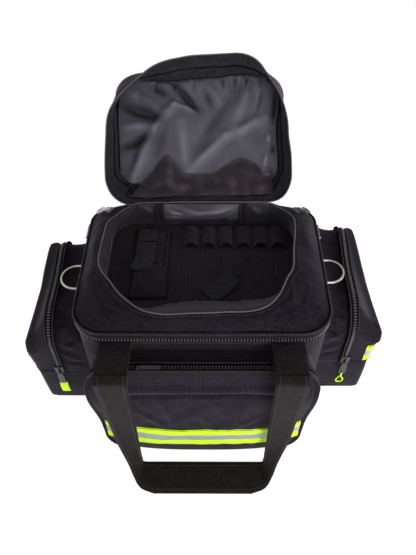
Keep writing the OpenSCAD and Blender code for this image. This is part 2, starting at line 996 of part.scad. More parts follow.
module strap_buckles() {
    w = web_w + 2 * buckle_bar;
    slot_h = (buckle_h - 3 * buckle_bar) / 2;
    color("#151515") for (s = [-1, 1])
        translate([s * shoulder_span / 2 - w / 2, pad_face + 2 * seat + web_t,
            bow_foot - gap - buckle_drop - buckle_h])
            difference() {
                cube([w, buckle_t, buckle_h]);
                for (k = [0, 1]) translate([buckle_bar, -1, buckle_bar + k * (slot_h + buckle_bar)])
                    cube([web_w, buckle_t + 2, slot_h]);
            }
}

base_panel();
base_stiffener();
front_wall();
rear_wall();
left_wall();
right_wall();
main_zip();
lid_border();
lid_piping();
pocket_lining();
pocket_floor();
pocket_zip();
elastic_loops();
scissor_sheath();
sheath_strap();
keeper_tab();
hinge_strip();
hinge_tapes();
hood_sliders();
left_hood_pull();
right_hood_pull();
hood_shell();
hood_lining();
hood_zip();
front_pocket_gusset();
front_pocket_top();
front_pocket_zip();
front_slider();
front_pull();
front_panel();
front_band();
front_band_ends();
left_pocket_tub();
left_pocket_zip();
left_pocket_cover();
left_pocket_band();
left_slider();
left_pull();
left_pull_tag();
right_pocket_tub();
right_pocket_zip();
right_pocket_cover();
right_pocket_band();
right_slider();
right_pull();
right_pull_cord();
handle_anchors();
front_handle();
rear_handle();
ring_tabs();
left_ring();
right_ring();
left_main_slider();
left_main_pull();
right_main_slider();
right_main_pull();
back_pad();
shoulder_straps();
lower_straps();
strap_buckles();
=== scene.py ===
"""Soft trauma bag with an open, hooded top pocket: the looks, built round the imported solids.

Sizes are millimetres in the part's own frame (X across, -Y to the front, Z up); meshes are made in metres.
"""
import math

import bpy
import numpy as np
from mathutils import Matrix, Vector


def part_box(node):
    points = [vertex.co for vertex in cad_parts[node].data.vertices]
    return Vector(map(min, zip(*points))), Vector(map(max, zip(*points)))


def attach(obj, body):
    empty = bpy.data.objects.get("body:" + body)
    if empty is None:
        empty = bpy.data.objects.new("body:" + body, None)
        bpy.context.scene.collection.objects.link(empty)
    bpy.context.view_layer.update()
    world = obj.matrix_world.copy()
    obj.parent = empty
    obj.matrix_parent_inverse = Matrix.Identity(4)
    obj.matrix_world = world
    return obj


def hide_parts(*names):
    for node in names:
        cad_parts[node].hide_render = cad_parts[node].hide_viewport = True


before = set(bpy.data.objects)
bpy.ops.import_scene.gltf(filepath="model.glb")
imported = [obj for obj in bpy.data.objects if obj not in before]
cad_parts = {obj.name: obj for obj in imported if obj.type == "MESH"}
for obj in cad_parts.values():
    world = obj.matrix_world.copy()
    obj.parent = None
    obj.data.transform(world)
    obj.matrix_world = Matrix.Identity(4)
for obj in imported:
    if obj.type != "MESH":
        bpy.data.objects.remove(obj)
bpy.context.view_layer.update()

MM = 0.001
UP = np.array([0.0, 0.0, 1.0])
BEHIND = np.array([0.0, 1.0, 0.0])


def node_box(name):
    """Lowest and highest corner of a solid, in millimetres."""
    return [np.array(corner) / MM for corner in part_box(name)]


# Sizes taken from the solids
wall_low, wall_high = node_box("front_wall")
SIDE_X = wall_high[0]
FRONT_Y = wall_low[1]
BODY_H = wall_high[2]
REAR_Y = node_box("rear_wall")[1][1]
border_low, border_high = node_box("lid_border")
SKIRT_Z = border_low[2]
OPENING_Z = border_high[2]
FLOOR_Z = node_box("pocket_floor")[1][2]
BASE_T = node_box("base_panel")[1][2]
PANEL_HALF = node_box("front_panel")[1][0]
tub_high = node_box("right_pocket_tub")[1]
SIDE_OUT = tub_high[0]
SIDE_TOP = tub_high[2]

# Other sizes, as the bag is sewn
RIM_Z = SKIRT_Z + 12
WALL_T = 5.0
CORNER_FRONT = 50.0
CORNER_REAR = 35.0
BORDER_T = 3.0
SEAM_Z = 95.0
ZIP_X = SIDE_X + 57
BAND_W = 50.0
FRONT_POCKET_D = 68
FOOT = np.array([0.0, FRONT_Y - FRONT_POCKET_D, 9.0])
LEAN = math.radians(6)
PANEL_H = 227 / math.cos(LEAN)
PANEL_R = 45.0
HOOD_AXIS = np.array([0.0, 131.0, OPENING_Z])
HOOD_OPEN = math.radians(137)
HOOD_H = 50.0


def both(x, y, r):
    """A circle and its mirror image across the bag's middle."""
    return [(x, y, r), (-x, y, r)]


# Plans of the bag, the top pocket's mouth and the hood's crown: each a hull of circles, by centre and radius
BODY = (both(SIDE_X - CORNER_FRONT, FRONT_Y + CORNER_FRONT, CORNER_FRONT)
        + both(SIDE_X - CORNER_REAR, REAR_Y - CORNER_REAR, CORNER_REAR))
OPENING = both(119, 83, 45) + both(104, 0, 60) + both(50, -55, 65)
CROWN = both(119, 55, 31) + both(110, -66, 40)


def reach(circles, angles, grow=0.0):
    """Polar radius of the hull of circles, grown: the least distance along each angle to a tangent line."""
    turn = np.radians(np.arange(0, 360, 0.5))
    heading = np.stack([np.cos(turn), np.sin(turn)], 1)
    sizes = np.array(circles)
    support = (heading @ sizes[:, :2].T + sizes[:, 2]).max(1) + grow
    facing = np.maximum(np.cos(turn[:, None] - angles), 0.02)
    return (support[:, None] / facing).min(0)


def ring(circles, angles, grow=0.0):
    """Points of such an outline at polar angles."""
    return reach(circles, angles, grow)[:, None] * np.stack([np.cos(angles), np.sin(angles)], 1)


def lengths(points):
    """Distance along a line of points, from its start."""
    return np.concatenate([[0], np.cumsum(np.linalg.norm(np.diff(points, axis=0), axis=1))])


def even(points, count, closed=False):
    """The same line with points evenly spaced along it; columns after the third are carried along."""
    if closed:
        points = np.concatenate([points, points[:1]])
    along = lengths(points[:, :3])
    at = np.linspace(0, along[-1], count, endpoint=not closed)
    return np.stack([np.interp(at, along, column) for column in points.T], 1)


def even_ring(circles, count, grow=0.0):
    """Points evenly spaced round an outline, from the middle of its front, anticlockwise seen from above."""
    return even(ring(circles, np.linspace(0, 2 * np.pi, 2400, endpoint=False) - np.pi / 2, grow), count, True)


def bent(points, radius, count):
    """A line through points, each inner corner rounded by an arc, evenly spaced."""
    points = np.asarray(points, float)
    radii = np.broadcast_to(radius, len(points) - 2)
    line = [points[:1]]
    for before, corner, after, r in zip(points, points[1:], points[2:], radii):
        back = (before - corner) / np.linalg.norm(before - corner)
        on = (after - corner) / np.linalg.norm(after - corner)
        half = np.arccos(np.clip(back @ on, -1, 1)) / 2
        middle = corner + (back + on) / np.linalg.norm(back + on) * r / np.sin(half)
        start = corner + back * r / np.tan(half) - middle
        end = corner + on * r / np.tan(half) - middle
        sweep = np.pi - 2 * half
        step = np.linspace(0, 1, 13)[:, None]
        arc = np.sin((1 - step) * sweep) * start + np.sin(step * sweep) * end
        line.append(middle + arc / np.sin(sweep))
    line.append(points[-1:])
    return even(np.concatenate(line), count)


def smooth(points, count, closed=False):
    """A curve through points, each stretch a cubic whose slope is that between the point's neighbours."""
    p = np.asarray(points, float)
    if closed:
        p = np.concatenate([p[-1:], p, p[:2]])
    else:
        p = np.concatenate([2 * p[:1] - p[1:2], p, 2 * p[-1:] - p[-2:-1]])
    t = np.linspace(0, 1, 24, endpoint=False)[None, :, None]
    a, b, c, d = (p[k:len(p) - 3 + k][:, None] for k in range(4))
    square = a - 2.5 * b + 2 * c - d / 2
    cube = 1.5 * (b - c) + (d - a) / 2
    curve = b + t * (c - a) / 2 + t ** 2 * square + t ** 3 * cube
    curve = curve.reshape(-1, p.shape[1])
    return even(curve if closed else np.concatenate([curve, p[-2:-1]]), count, closed)


def unit(vectors):
    """Vectors scaled to length one."""
    return vectors / np.maximum(np.linalg.norm(vectors, axis=-1, keepdims=True), 1e-9)


def ease(t):
    """Smooth step from 0 to 1."""
    t = np.clip(t, 0, 1)
    return t * t * (3 - 2 * t)


def ripple(x, y, size, seed, waves=10):
    """Uneven swell of cloth: the mean of sine waves of random heading and phase, each about size long."""
    draw = np.random.default_rng(seed)
    heading = draw.uniform(0, 2 * np.pi, waves)
    count = 2 * np.pi / (size * draw.uniform(0.7, 1.5, waves))
    phase = draw.uniform(0, 2 * np.pi, waves)
    x, y = np.asarray(x, float)[..., None], np.asarray(y, float)[..., None]
    return 1.7 * np.sin((x * np.cos(heading) + y * np.sin(heading)) * count + phase).mean(-1)


def folds(x, y, lines):
    """Height of folds along lines (x0, y0, x1, y1, width, height): bell-shaped ridges, low at their ends."""
    total = np.zeros(np.broadcast(x, y).shape)
    for x0, y0, x1, y1, width, height in lines:
        dx, dy = x1 - x0, y1 - y0
        along = np.clip(((x - x0) * dx + (y - y0) * dy) / (dx * dx + dy * dy), 0, 1)
        gap = np.hypot(x - x0 - along * dx, y - y0 - along * dy)
        fade = 0.35 + 0.65 * np.sin(np.pi * np.clip(along, 0.06, 0.94))
        total += height * np.exp(-(gap / width) ** 2) * fade
    return total


def across(path, out, closed=False):
    """Directions along a path and across it, square to the outward direction."""
    if closed:
        along = unit(np.roll(path, -1, 0) - np.roll(path, 1, 0))
    else:
        along = unit(np.gradient(path, axis=0))
    return along, unit(np.cross(out, along))


def carried(path, out, profile, closed=False):
    """A profile of (across, outward) offsets carried along a path; it may differ from point to point."""
    side = across(path, out, closed)[1]
    profile = np.broadcast_to(profile, (len(path),) + np.shape(profile)[-2:])
    outward = np.broadcast_to(out, path.shape)[:, None]
    return path[:, None] + profile[..., :1] * side[:, None] + profile[..., 1:] * outward


def round_profile(radius, sides=8):
    """Circle of offsets."""
    turn = np.linspace(0, 2 * np.pi, sides, endpoint=False)
    return np.stack([np.cos(turn), np.sin(turn)], 1) * radius


class Grid:
    """Quads over rows and columns of points, facing away from the point inside, with UV in metres along both.

    paint is the place of its material in the piece's list, and tone a value at each point for that material.
    Without a point inside, its faces turn as the rows and columns run, and the other way with flip.
    """

    def __init__(self, points, wrap_rows=False, wrap_columns=False, inside=None, paint=0, uv=None, flip=False,
                 tone=0.0):
        self.points = np.asarray(points, float)
        self.tone = np.broadcast_to(tone, self.points.shape[:2]).ravel()
        self.paint = paint
        rows, columns = self.points.shape[:2]
        i = np.arange(rows if wrap_rows else rows - 1)[:, None]
        j = np.arange(columns if wrap_columns else columns - 1)[None]
        corners = [(i, j), (i + 1, j), (i + 1, j + 1), (i, j + 1)]
        self.faces = np.stack([np.broadcast_to(r % rows * columns + c % columns, np.broadcast(i, j).shape)
                               for r, c in corners], -1).reshape(-1, 4)
        if uv is None:
            long = np.concatenate([self.points, self.points[:1]]) if wrap_rows else self.points
            wide = np.concatenate([self.points, self.points[:, :1]], 1) if wrap_columns else self.points
            u = np.linalg.norm(np.diff(long, axis=0), axis=2).mean(1)
            v = np.linalg.norm(np.diff(wide, axis=1), axis=2).mean(0)
            u, v = np.append(0, np.cumsum(u)), np.append(0, np.cumsum(v))
            uv = np.stack(np.meshgrid(u, v, indexing="ij"), -1) * MM
        self.uv = np.stack([uv[r + 0 * c, c + 0 * r] for r, c in corners], 2).reshape(-1, 2)
        if inside is not None:
            a, b, c, d = (self.points.reshape(-1, 3)[self.faces[:, k]] for k in range(4))
            flip = (np.cross(c - a, d - b) * (np.asarray(inside) - (a + c) / 2)).sum() > 0
        if flip:
            self.faces = self.faces[:, ::-1]
            self.uv = self.uv.reshape(-1, 4, 2)[:, ::-1].reshape(-1, 2)


def piece(name, grids, paints, body, nodes=(), thick=0.0, inward=1.0, weld=False):
    """Makes one object from grids: its mesh in metres, its materials, its body and the solids it stands for.

    thick adds a second skin, behind the faces with inward 1 and half to each side with 0. weld joins points
    that meet.
    """
    starts = np.cumsum([0] + [grid.points.size // 3 for grid in grids])
    faces = np.concatenate([grid.faces + start for grid, start in zip(grids, starts)])
    points = np.concatenate([grid.points.reshape(-1, 3) for grid in grids]) * MM
    painted = np.concatenate([np.full(len(grid.faces), grid.paint) for grid in grids])
    tone = np.concatenate([grid.tone for grid in grids])
    uv = np.concatenate([grid.uv for grid in grids])
    mesh = bpy.data.meshes.new(name)
    mesh.vertices.add(len(points))
    mesh.vertices.foreach_set("co", points.ravel())
    mesh.loops.add(faces.size)
    mesh.loops.foreach_set("vertex_index", faces.ravel())
    mesh.polygons.add(len(faces))
    mesh.polygons.foreach_set("loop_start", np.arange(0, faces.size, 4))
    mesh.polygons.foreach_set("material_index", painted)
    mesh.polygons.foreach_set("use_smooth", np.ones(len(faces), bool))
    mesh.attributes.new("tone", "FLOAT", "POINT").data.foreach_set("value", tone)
    mesh.uv_layers.new(name="UVMap").data.foreach_set("uv", uv.ravel())
    mesh.update(calc_edges=True)
    mesh.validate()
    made = bpy.data.objects.new(name, mesh)
    bpy.context.scene.collection.objects.link(made)
    for paint in paints:
        mesh.materials.append(paint)
    if weld:
        made.modifiers.new("Weld", "WELD").merge_threshold = 0.02 * MM
    if thick:
        skin = made.modifiers.new("Solidify", "SOLIDIFY")
        skin.thickness = thick * MM
        skin.offset = -inward
    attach(made, body)
    if nodes:
        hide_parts(*nodes)
    return made


# Materials

def linear(code):
    """An sRGB hex colour as linear RGBA."""
    value = np.array([int(code[k:k + 2], 16) for k in (1, 3, 5)]) / 255
    value = np.where(value <= 0.04045, value / 12.92, ((value + 0.055) / 1.055) ** 2.4)
    return (*value.tolist(), 1.0)


def add(tree, kind, inputs=None, **settings):
    """Adds a node with settings; inputs gives each socket a value or another node's socket."""
    made = tree.nodes.new(kind)
    for key, value in settings.items():
        setattr(made, key, value)
    for key, value in (inputs or {}).items():
        if isinstance(value, bpy.types.NodeSocket):
            tree.links.new(value, made.inputs[key])
        else:
            made.inputs[key].default_value = value
    return made


def blank(name):
    """A new material, its tree, its shader and its UV coordinates."""
    made = bpy.data.materials.new(name)
    made.use_nodes = True
    tree = made.node_tree
    return made, tree, tree.nodes["Principled BSDF"], add(tree, "ShaderNodeTexCoord").outputs["UV"]


def per(size):
    """Texture scale at which a noise or cell pattern repeats every size millimetres."""
    return 1 / (size * MM)


def bands(size):
    """Texture scale at which a wave pattern repeats every size millimetres."""
    return math.pi / 10 / (size * MM)


def set_shader(shader, **values):
    """Sets plain values on a shader's sockets; underscores in a name stand for spaces."""
    for key, value in values.items():
        shader.inputs[key.replace("_", " ")].default_value = value


# Painted shade: what a crease of black cloth darkens to
PAINTED_CREASE_SHADE = "#020202"
# Painted shade that satin darkens to (also the darker cloth beyond the hinge's tapes), and its painted
# highlight
SATIN_SHADE_AND_DARK, SATIN_HIGHLIGHT = "#141216", "#83818b"
# Millimetres at which the fuzz of a cloth repeats, drawn coarse so that it shows
FUZZ = 5.0
# A brick texture with square cells, for a ripstop grid
SQUARE_CELLS = {"Brick Width": 1.0, "Row Height": 1.0}


def woven(name, dark, light, thread, grid=0.0, rough=0.8, sheen=0.3, depth=0.25, cloud=26.0, mottle=1.2):
    """Cloth of crossed threads: two sets of fine bands, a ripstop grid if given, and uneven wear in colour.

    thread, grid and cloud are the millimetres at which threads, grid and wear repeat, and mottle is how
    strongly the colour varies from place to place. The tone attribute darkens the cloth in its creases as
    painted shade.
    """
    made, tree, shader, uv = blank(name)
    threads = {"Vector": uv, "Scale": bands(thread), "Distortion": 1.2, "Detail": 1.0}
    warp = add(tree, "ShaderNodeTexWave", threads, bands_direction="X").outputs["Fac"]
    weft = add(tree, "ShaderNodeTexWave", threads, bands_direction="Y").outputs["Fac"]
    weave = add(tree, "ShaderNodeMath", {0: warp, 1: weft}, operation="MULTIPLY").outputs[0]
    slow = {"Vector": uv, "Scale": per(cloud), "Detail": 5.0, "Roughness": 0.62}
    wear = add(tree, "ShaderNodeTexNoise", slow).outputs["Fac"]
    fine = {"Vector": uv, "Scale": per(FUZZ), "Detail": 3.0, "Roughness": 0.7}
    fuzz = add(tree, "ShaderNodeTexNoise", fine).outputs["Fac"]
    tone = add(tree, "ShaderNodeMath", {0: weave, 1: 0.35, 2: wear}, operation="MULTIPLY_ADD").outputs[0]
    tone = add(tree, "ShaderNodeMath", {0: fuzz, 1: mottle, 2: tone}, operation="MULTIPLY_ADD").outputs[0]
    height = weave
    if grid:
        cells = {"Vector": uv, "Scale": per(grid), "Mortar Size": 0.09, "Mortar Smooth": 0.6, **SQUARE_CELLS}
        ribs = add(tree, "ShaderNodeTexBrick", cells, offset=0.0).outputs["Fac"]
        tone = add(tree, "ShaderNodeMath", {0: ribs, 1: 0.42, 2: tone}, operation="MULTIPLY_ADD").outputs[0]
        height = add(tree, "ShaderNodeMath", {0: ribs, 1: weave}, operation="ADD").outputs[0]
    spread = {"Value": tone, "From Min": 0.3 + mottle / 2, "From Max": 0.9 + mottle / 2}
    share = add(tree, "ShaderNodeMapRange", spread).outputs[0]
    mix = {"Factor": share, 6: linear(dark), 7: linear(light)}
    colour = add(tree, "ShaderNodeMix", mix, data_type="RGBA").outputs[2]
    # Painted shade: the tone attribute darkens the cloth towards near black in its creases
    crease_shade = add(tree, "ShaderNodeAttribute", attribute_name="tone").outputs["Fac"]
    mix = {"Factor": crease_shade, 6: colour, 7: linear(PAINTED_CREASE_SHADE)}
    colour = add(tree, "ShaderNodeMix", mix, data_type="RGBA").outputs[2]
    tree.links.new(colour, shader.inputs["Base Color"])
    bump = add(tree, "ShaderNodeBump", {"Height": height, "Strength": depth, "Distance": 0.5 * MM})
    tree.links.new(bump.outputs[0], shader.inputs["Normal"])
    set_shader(shader, Roughness=rough, Specular_IOR_Level=0.05, Sheen_Weight=sheen, Sheen_Roughness=0.45,
               Sheen_Tint=linear("#eadcf0"))
    return made


# Matt black polyester with a ripstop grid, drawn at 7 mm and its thread at 1.6 mm so that they show
cloth = woven("polyester_ripstop", "#070509", "#221d26", 1.6, grid=7.0, sheen=0.2, cloud=15.0)
# The same cloth on the pocket's floor, browner and paler with dust
floor_cloth = woven("polyester_pocket_lining", "#181318", "#352c35", 1.6, grid=7.0, sheen=0.08)
# Nylon webbing, woven with a rib across each 2 mm
webbing = woven("nylon_webbing", "#0d0c0b", "#272422", 2.0, rough=0.7, sheen=0.12, depth=0.5, cloud=14.0,
                mottle=0.6)
# Knitted elastic, a softer and darker rib
elastic = woven("knitted_elastic", "#1c1a1c", "#343135", 1.8, rough=0.85, depth=0.4, cloud=9.0, sheen=0.12)
# Zip tape, a fine herringbone that reads as a dull black
tape = woven("zip_tape", "#0e0e0f", "#1c1b1d", 1.5, rough=0.75, sheen=0.1, cloud=12.0)
# Matt black binding; beside the piping its strips are painted shade, dark lines laid where the seam lies in
# shadow
binding_and_seam_shade = woven("polyester_binding_and_seam_shade", "#050506", "#0c0c0d", 1.5, rough=0.95, sheen=0.0, cloud=12.0)
# Softer webbing of the small straps in the pocket, worn paler
soft_webbing = woven("polyester_webbing", "#1d1c1d", "#363536", 1.6, rough=0.7, sheen=0.12, depth=0.4,
                     cloud=12.0)
# Facing tape inside the hood, a smoother nylon with a slight shine
facing = woven("nylon_facing", "#1a1b1e", "#303136", 1.4, rough=0.5, sheen=0.1, cloud=18.0)
# Air mesh on the padded back and straps, an open weave in deep relief
mesh_cloth = woven("spacer_mesh", "#121113", "#272529", 3.0, rough=0.9, sheen=0.2, depth=0.8, cloud=30.0)


def satin_lining(name, dark, light, rough):
    """Satin nylon: a smooth face with a faint ripstop grid of 3.2 mm and slow clouds of 45 mm.

    Its tone attribute is painted light: above 0 darker, as painted shade (and as the darker cloth beyond the
    hinge's tapes), below 0 paler, as painted highlight.
    """
    made, tree, shader, uv = blank(name)
    cells = {"Vector": uv, "Scale": per(3.2), "Mortar Size": 0.08, "Mortar Smooth": 0.7, **SQUARE_CELLS}
    ribs = add(tree, "ShaderNodeTexBrick", cells, offset=0.0).outputs["Fac"]
    cloud = add(tree, "ShaderNodeTexNoise", {"Vector": uv, "Scale": per(45), "Detail": 4.0}).outputs["Fac"]
    tone = add(tree, "ShaderNodeMath", {0: ribs, 1: 0.18, 2: cloud}, operation="MULTIPLY_ADD").outputs[0]
    mix = {"Factor": tone, 6: linear(dark), 7: linear(light)}
    colour = add(tree, "ShaderNodeMix", mix, data_type="RGBA").outputs[2]
    # Painted shade above 0 and painted highlight below 0, by the tone attribute
    painted_light = add(tree, "ShaderNodeAttribute", attribute_name="tone").outputs["Fac"]
    away = add(tree, "ShaderNodeMapRange", {"Value": painted_light}).outputs[0]
    toward = add(tree, "ShaderNodeMapRange", {"Value": painted_light, "From Max": -1.0}).outputs[0]
    for share, painted_colour in ((away, SATIN_SHADE_AND_DARK), (toward, SATIN_HIGHLIGHT)):
        mix = {"Factor": share, 6: colour, 7: linear(painted_colour)}
        colour = add(tree, "ShaderNodeMix", mix, data_type="RGBA").outputs[2]
    tree.links.new(colour, shader.inputs["Base Color"])
    bump = add(tree, "ShaderNodeBump", {"Height": ribs, "Strength": 0.1, "Distance": 0.3 * MM})
    tree.links.new(bump.outputs[0], shader.inputs["Normal"])
    set_shader(shader, Roughness=rough, Sheen_Weight=0.15, Sheen_Roughness=0.3, Specular_IOR_Level=0.22)
    return made


def moulded(name, dark, light, rough, metallic=0.0, grain=3.0, bump_depth=0.1):
    """A moulded or plated face: clouds of tone 9 mm across, and a fine grain in roughness and relief."""
    made, tree, shader, _ = blank(name)
    place = add(tree, "ShaderNodeTexCoord").outputs["Object"]
    cloud = add(tree, "ShaderNodeTexNoise", {"Vector": place, "Scale": per(9), "Detail": 4.0}).outputs["Fac"]
    mix = {"Factor": cloud, 6: linear(dark), 7: linear(light)}
    colour = add(tree, "ShaderNodeMix", mix, data_type="RGBA")
    tree.links.new(colour.outputs[2], shader.inputs["Base Color"])
    specks = {"Vector": place, "Scale": per(grain), "Detail": 3.0}
    fine = add(tree, "ShaderNodeTexNoise", specks).outputs["Fac"]
    shine = add(tree, "ShaderNodeMapRange", {"Value": fine, "To Min": rough * 0.75, "To Max": rough * 1.25})
    tree.links.new(shine.outputs[0], shader.inputs["Roughness"])
    bump = add(tree, "ShaderNodeBump", {"Height": fine, "Strength": bump_depth, "Distance": 0.1 * MM})
    tree.links.new(bump.outputs[0], shader.inputs["Normal"])
    set_shader(shader, Metallic=metallic)
    return made


# Grey satin nylon of the linings, and a darker, browner copy of it as painted shade on the shaded part low in
# the hood
satin = satin_lining("nylon_satin", "#3e3c44", "#605e68", 0.5)
shaded_satin = satin_lining("nylon_satin_painted_shade", "#20191d", "#362c32", 0.7)
# Darker satin on the pocket's walls
dark_satin = satin_lining("nylon_satin_dark", "#232127", "#3b3840", 0.45)
# Polyester coil of the zips, moulded and faintly shiny
coil = moulded("polyester_coil", "#2e2e31", "#505054", 0.38)
# Coil worn pale along the top pocket's mouth
pale_coil = moulded("polyester_coil_worn", "#363639", "#58585b", 0.4)
# Nickel plate on bent steel wire, bright and a little warm
nickel = moulded("nickel_plate", "#8e867b", "#b5ada2", 0.3, metallic=1.0, grain=1.2)
# Black lacquer on die-cast zinc, with small highlights
black_metal = moulded("lacquered_zinc", "#141415", "#2a2a2c", 0.32, grain=1.5)
# Gunmetal plate on the main sliders, a dark mirror
gunmetal = moulded("gunmetal_plate", "#4a4a4c", "#77777a", 0.3, metallic=1.0, grain=1.5)
# Acetal buckles, moulded with a fine spark grain
acetal = moulded("acetal", "#131314", "#242426", 0.45, grain=0.8, bump_depth=0.25)
# Moulded pulls of the hood's zip, one pale and shiny and one nearly black
pale_pull = moulded("polycarbonate_pale", "#b9bab9", "#e6e7e6", 0.3)
smoke_pull = moulded("polycarbonate_smoke", "#181818", "#2b2b2a", 0.4)
# Stiff fibreboard in the base, dull and brown
board = moulded("fibreboard", "#26221f", "#3d3733", 0.85, grain=2.0, bump_depth=0.4)
# Fluorescent lime tape, a close plain weave
lime = woven("fluorescent_polyester", "#bcea12", "#d2ff38", 1.2, rough=0.65, sheen=0.1, depth=0.2, cloud=18.0,
             mottle=0.3)
# Retroreflective tape: glass beads that give an even silver grey
silver = moulded("retroreflective_beads", "#8d9392", "#b3b9b5", 0.5, metallic=0.35, grain=0.8, bump_depth=0.3)
# Black thread of the topstitching, a shade above the cloth
thread = woven("polyester_thread", "#242226", "#3f3b41", 1.0, rough=0.6)
# The wide zips: tape, teeth, stitches and lips
ZIP_PAINTS = [binding_and_seam_shade, coil, thread, soft_webbing]


# Sewn details that repeat

def beads(path, out, pitch, radius, swell, shift=(0.0, 0.0), closed=False, paint=0, dip=0.0):
    """A row of teeth or stitches: a round section along a path that swells once every pitch, moved by shift.

    Between the swellings it sinks by dip.
    """
    total = lengths(np.concatenate([path, path[:1]]) if closed else path)[-1]
    count = max(2, round(total / pitch)) * 4 + (0 if closed else 1)
    fine = even(np.hstack([path, np.broadcast_to(out, path.shape)]), count, closed)
    wave = np.cos(np.arange(count) * np.pi / 2)
    profile = round_profile(1.0, 6) * (radius * (1 + swell * wave))[:, None, None] + np.array(shift)
    profile[..., 1] -= dip * (1 - wave[:, None]) / 2
    points = carried(fine[:, :3], unit(fine[:, 3:]), profile, closed)
    return Grid(points, closed, True, flip=True, paint=paint)


def flat_tape(path, out, width, thick, shift=0.0, lift=0.0, closed=False, paint=0):
    """A flat tape along a path: a thin oblong section, width across and thick outwards."""
    w, t = width / 2, thick / 2
    section = np.array([[-w, -t], [-w, t], [-w + t, t * 1.3], [w - t, t * 1.3], [w, t], [w, -t]])
    return Grid(carried(path, out, section + [shift, lift], closed), closed, True, paint=paint)


def stitching(path, out, shift=0.0, lift=0.15, closed=False, paint=1):
    """One row of topstitching, 4 mm to a stitch so that it shows, sunk a little into the cloth."""
    return beads(path, out, 4.0, 0.42, 0.75, (shift, lift), closed, paint)


def zip_grids(path, out, width, lift=0.0):
    """A zip: black tape, a flat lip on each side, two rows of teeth between them, and stitches on the lips.

    Its paints are tape, teeth, stitches and lips. The teeth are drawn 4.8 mm apart, twice as coarse as a real
    coil, so that they show.
    """
    pitch, radius, dip = 4.8, 1.35, 2.8
    lip, lip_width = width * 0.39, width * 0.11
    grids = [flat_tape(path, out, width, 0.9, 0.0, lift)]
    for side in (-1, 1):
        grids.append(beads(path, out, pitch, radius, 0.4, (side * 1.5, lift + radius), paint=1, dip=dip))
        grids.append(flat_tape(path, out, lip_width, 1.1, side * lip, lift + 0.5, paint=3))
        grids.append(stitching(path, out, side * lip, lift + 1.3, paint=2))
    return grids


# Main compartment

def upright(path, low, high, levels, puff, seed):
    """A wall on a plan path: it swells out by puff between its seams, with ripples that die at the seams."""
    along = unit(np.gradient(path, axis=0))
    t = np.linspace(0, 1, levels)
    s = lengths(path)
    out = np.sin(np.pi * t) ** 0.6 * puff + np.zeros((len(path), 1))
    fade = np.sin(np.pi * t) * np.sin(np.pi * s / s[-1])[:, None] ** 0.5
    out = out + fade * 1.6 * ripple(*np.meshgrid(s, t * (high - low), indexing="ij"), 70, seed)
    plan = path[:, None] + out[..., None] * np.stack([along[:, 1], -along[:, 0]], 1)[:, None]
    z = np.broadcast_to(low + (high - low) * t, out.shape)
    return np.concatenate([plan, z[..., None]], 2)


def main_walls():
    """Four padded walls on the plan of the bag, each bent round its share of the corners."""
    front, rear = FRONT_Y + CORNER_FRONT, REAR_Y - CORNER_REAR
    fore = [(-SIDE_X, front), (-SIDE_X, FRONT_Y), (SIDE_X, FRONT_Y), (SIDE_X, front)]
    aft = [(SIDE_X, rear), (SIDE_X, REAR_Y), (-SIDE_X, REAR_Y), (-SIDE_X, rear)]
    sides = {
        "front_wall": (bent(fore, CORNER_FRONT, 120), BODY_H),
        "right_wall": (even(np.array([fore[3], aft[0]]), 50), BODY_H),
        "rear_wall": (bent(aft, CORNER_REAR, 110), SKIRT_Z - 0.5),
        "left_wall": (even(np.array([aft[3], fore[0]]), 50), BODY_H),
    }
    for seed, (name, (path, top)) in enumerate(sides.items()):
        wall = Grid(upright(path, BASE_T, top, 60, 1.0, seed), inside=(0, 0, 130))
        piece(name + "_cloth", [wall], [cloth], "bag", [name], thick=WALL_T)


def base_cloth():
    """Base panel: flat underneath, turned up round the plan's edge by a quarter round."""
    angles = np.arctan2(*even_ring(BODY, 300).T[::-1])
    steps = [(f, 0.0) for f in np.linspace(0, 0.97, 14)]
    steps += [(0.985, 0.2), (0.995, 1.4), (1.0, 3.0), (1.0, BASE_T)]
    edge = ring(BODY, angles)
    points = np.stack([np.column_stack([edge * f, np.full(len(edge), z)]) for f, z in steps], 1)
    uv = np.concatenate([points[..., :2], points[:1, :, :2]]) * MM
    base = Grid(points, wrap_rows=True, inside=(0, 0, 100), uv=uv)
    piece("base_cloth", [base], [cloth], "bag", ["base_panel"], thick=2.5, weld=True)


def main_zip():
    """Main zip round the front and sides, between the walls and the lid."""
    width, drop = 17.0, 0.7
    rear = REAR_Y - CORNER_REAR
    corners = [(-SIDE_X, rear), (-SIDE_X, FRONT_Y), (SIDE_X, FRONT_Y), (SIDE_X, rear)]
    path = bent(corners, CORNER_FRONT, 420)
    along = unit(np.gradient(path, axis=0))
    out = np.column_stack([along[:, 1], -along[:, 0], np.zeros(len(path))])
    line = np.column_stack([path, np.full(len(path), BODY_H - drop)]) + out * 0.4
    piece("main_zip_coil", zip_grids(line, out, width), ZIP_PAINTS, "bag", ["main_zip"])


# Main lid with the top pocket

ROUND = np.arctan2(*even_ring(BODY, 460).T[::-1])
# Distance between teeth on the rims of the top pocket and its hood, drawn coarse so that they show
RIM_TOOTH = 4.4

# How the soft mouth of the pocket hangs in the photograph: at (x, y) it is moved by (x, y, z)
MOUTH_SLUMP = np.array([
    (-164, 60, -3, 0, 0), (-164, 20, -5, 0, 0), (-160, -15, -6, -2, 0), (-146, -42, -8, -2, 0),
    (-118, -75, -9, -9, 0), (-96, -101, -5, -6, 0), (-60, -118, 0, -1, 0), (0, -120, 0, 2, 0),
    (50, -120, 2, 5, 0), (84, -110, 4, 2, 0), (100, -98, 12, -2, 0), (113, -81, 7, 0, 0),
    (128, -64, -2, 0, 0), (146, -42, -13, 0, 0), (162, 0, -19, 0, 0), (164, 30, -12, 0, 0),
    (164, 70, -7, 0, 0), (150, 110, -6, -4, -7), (-150, 110, 8, -4, -7), (-100, 128, 0, 0, -1),
    (0, 128, 0, 0, 0), (100, 128, 0, 0, -1),
], float)
# How far away each of these moves is felt
SLUMP_REACH = 26.0
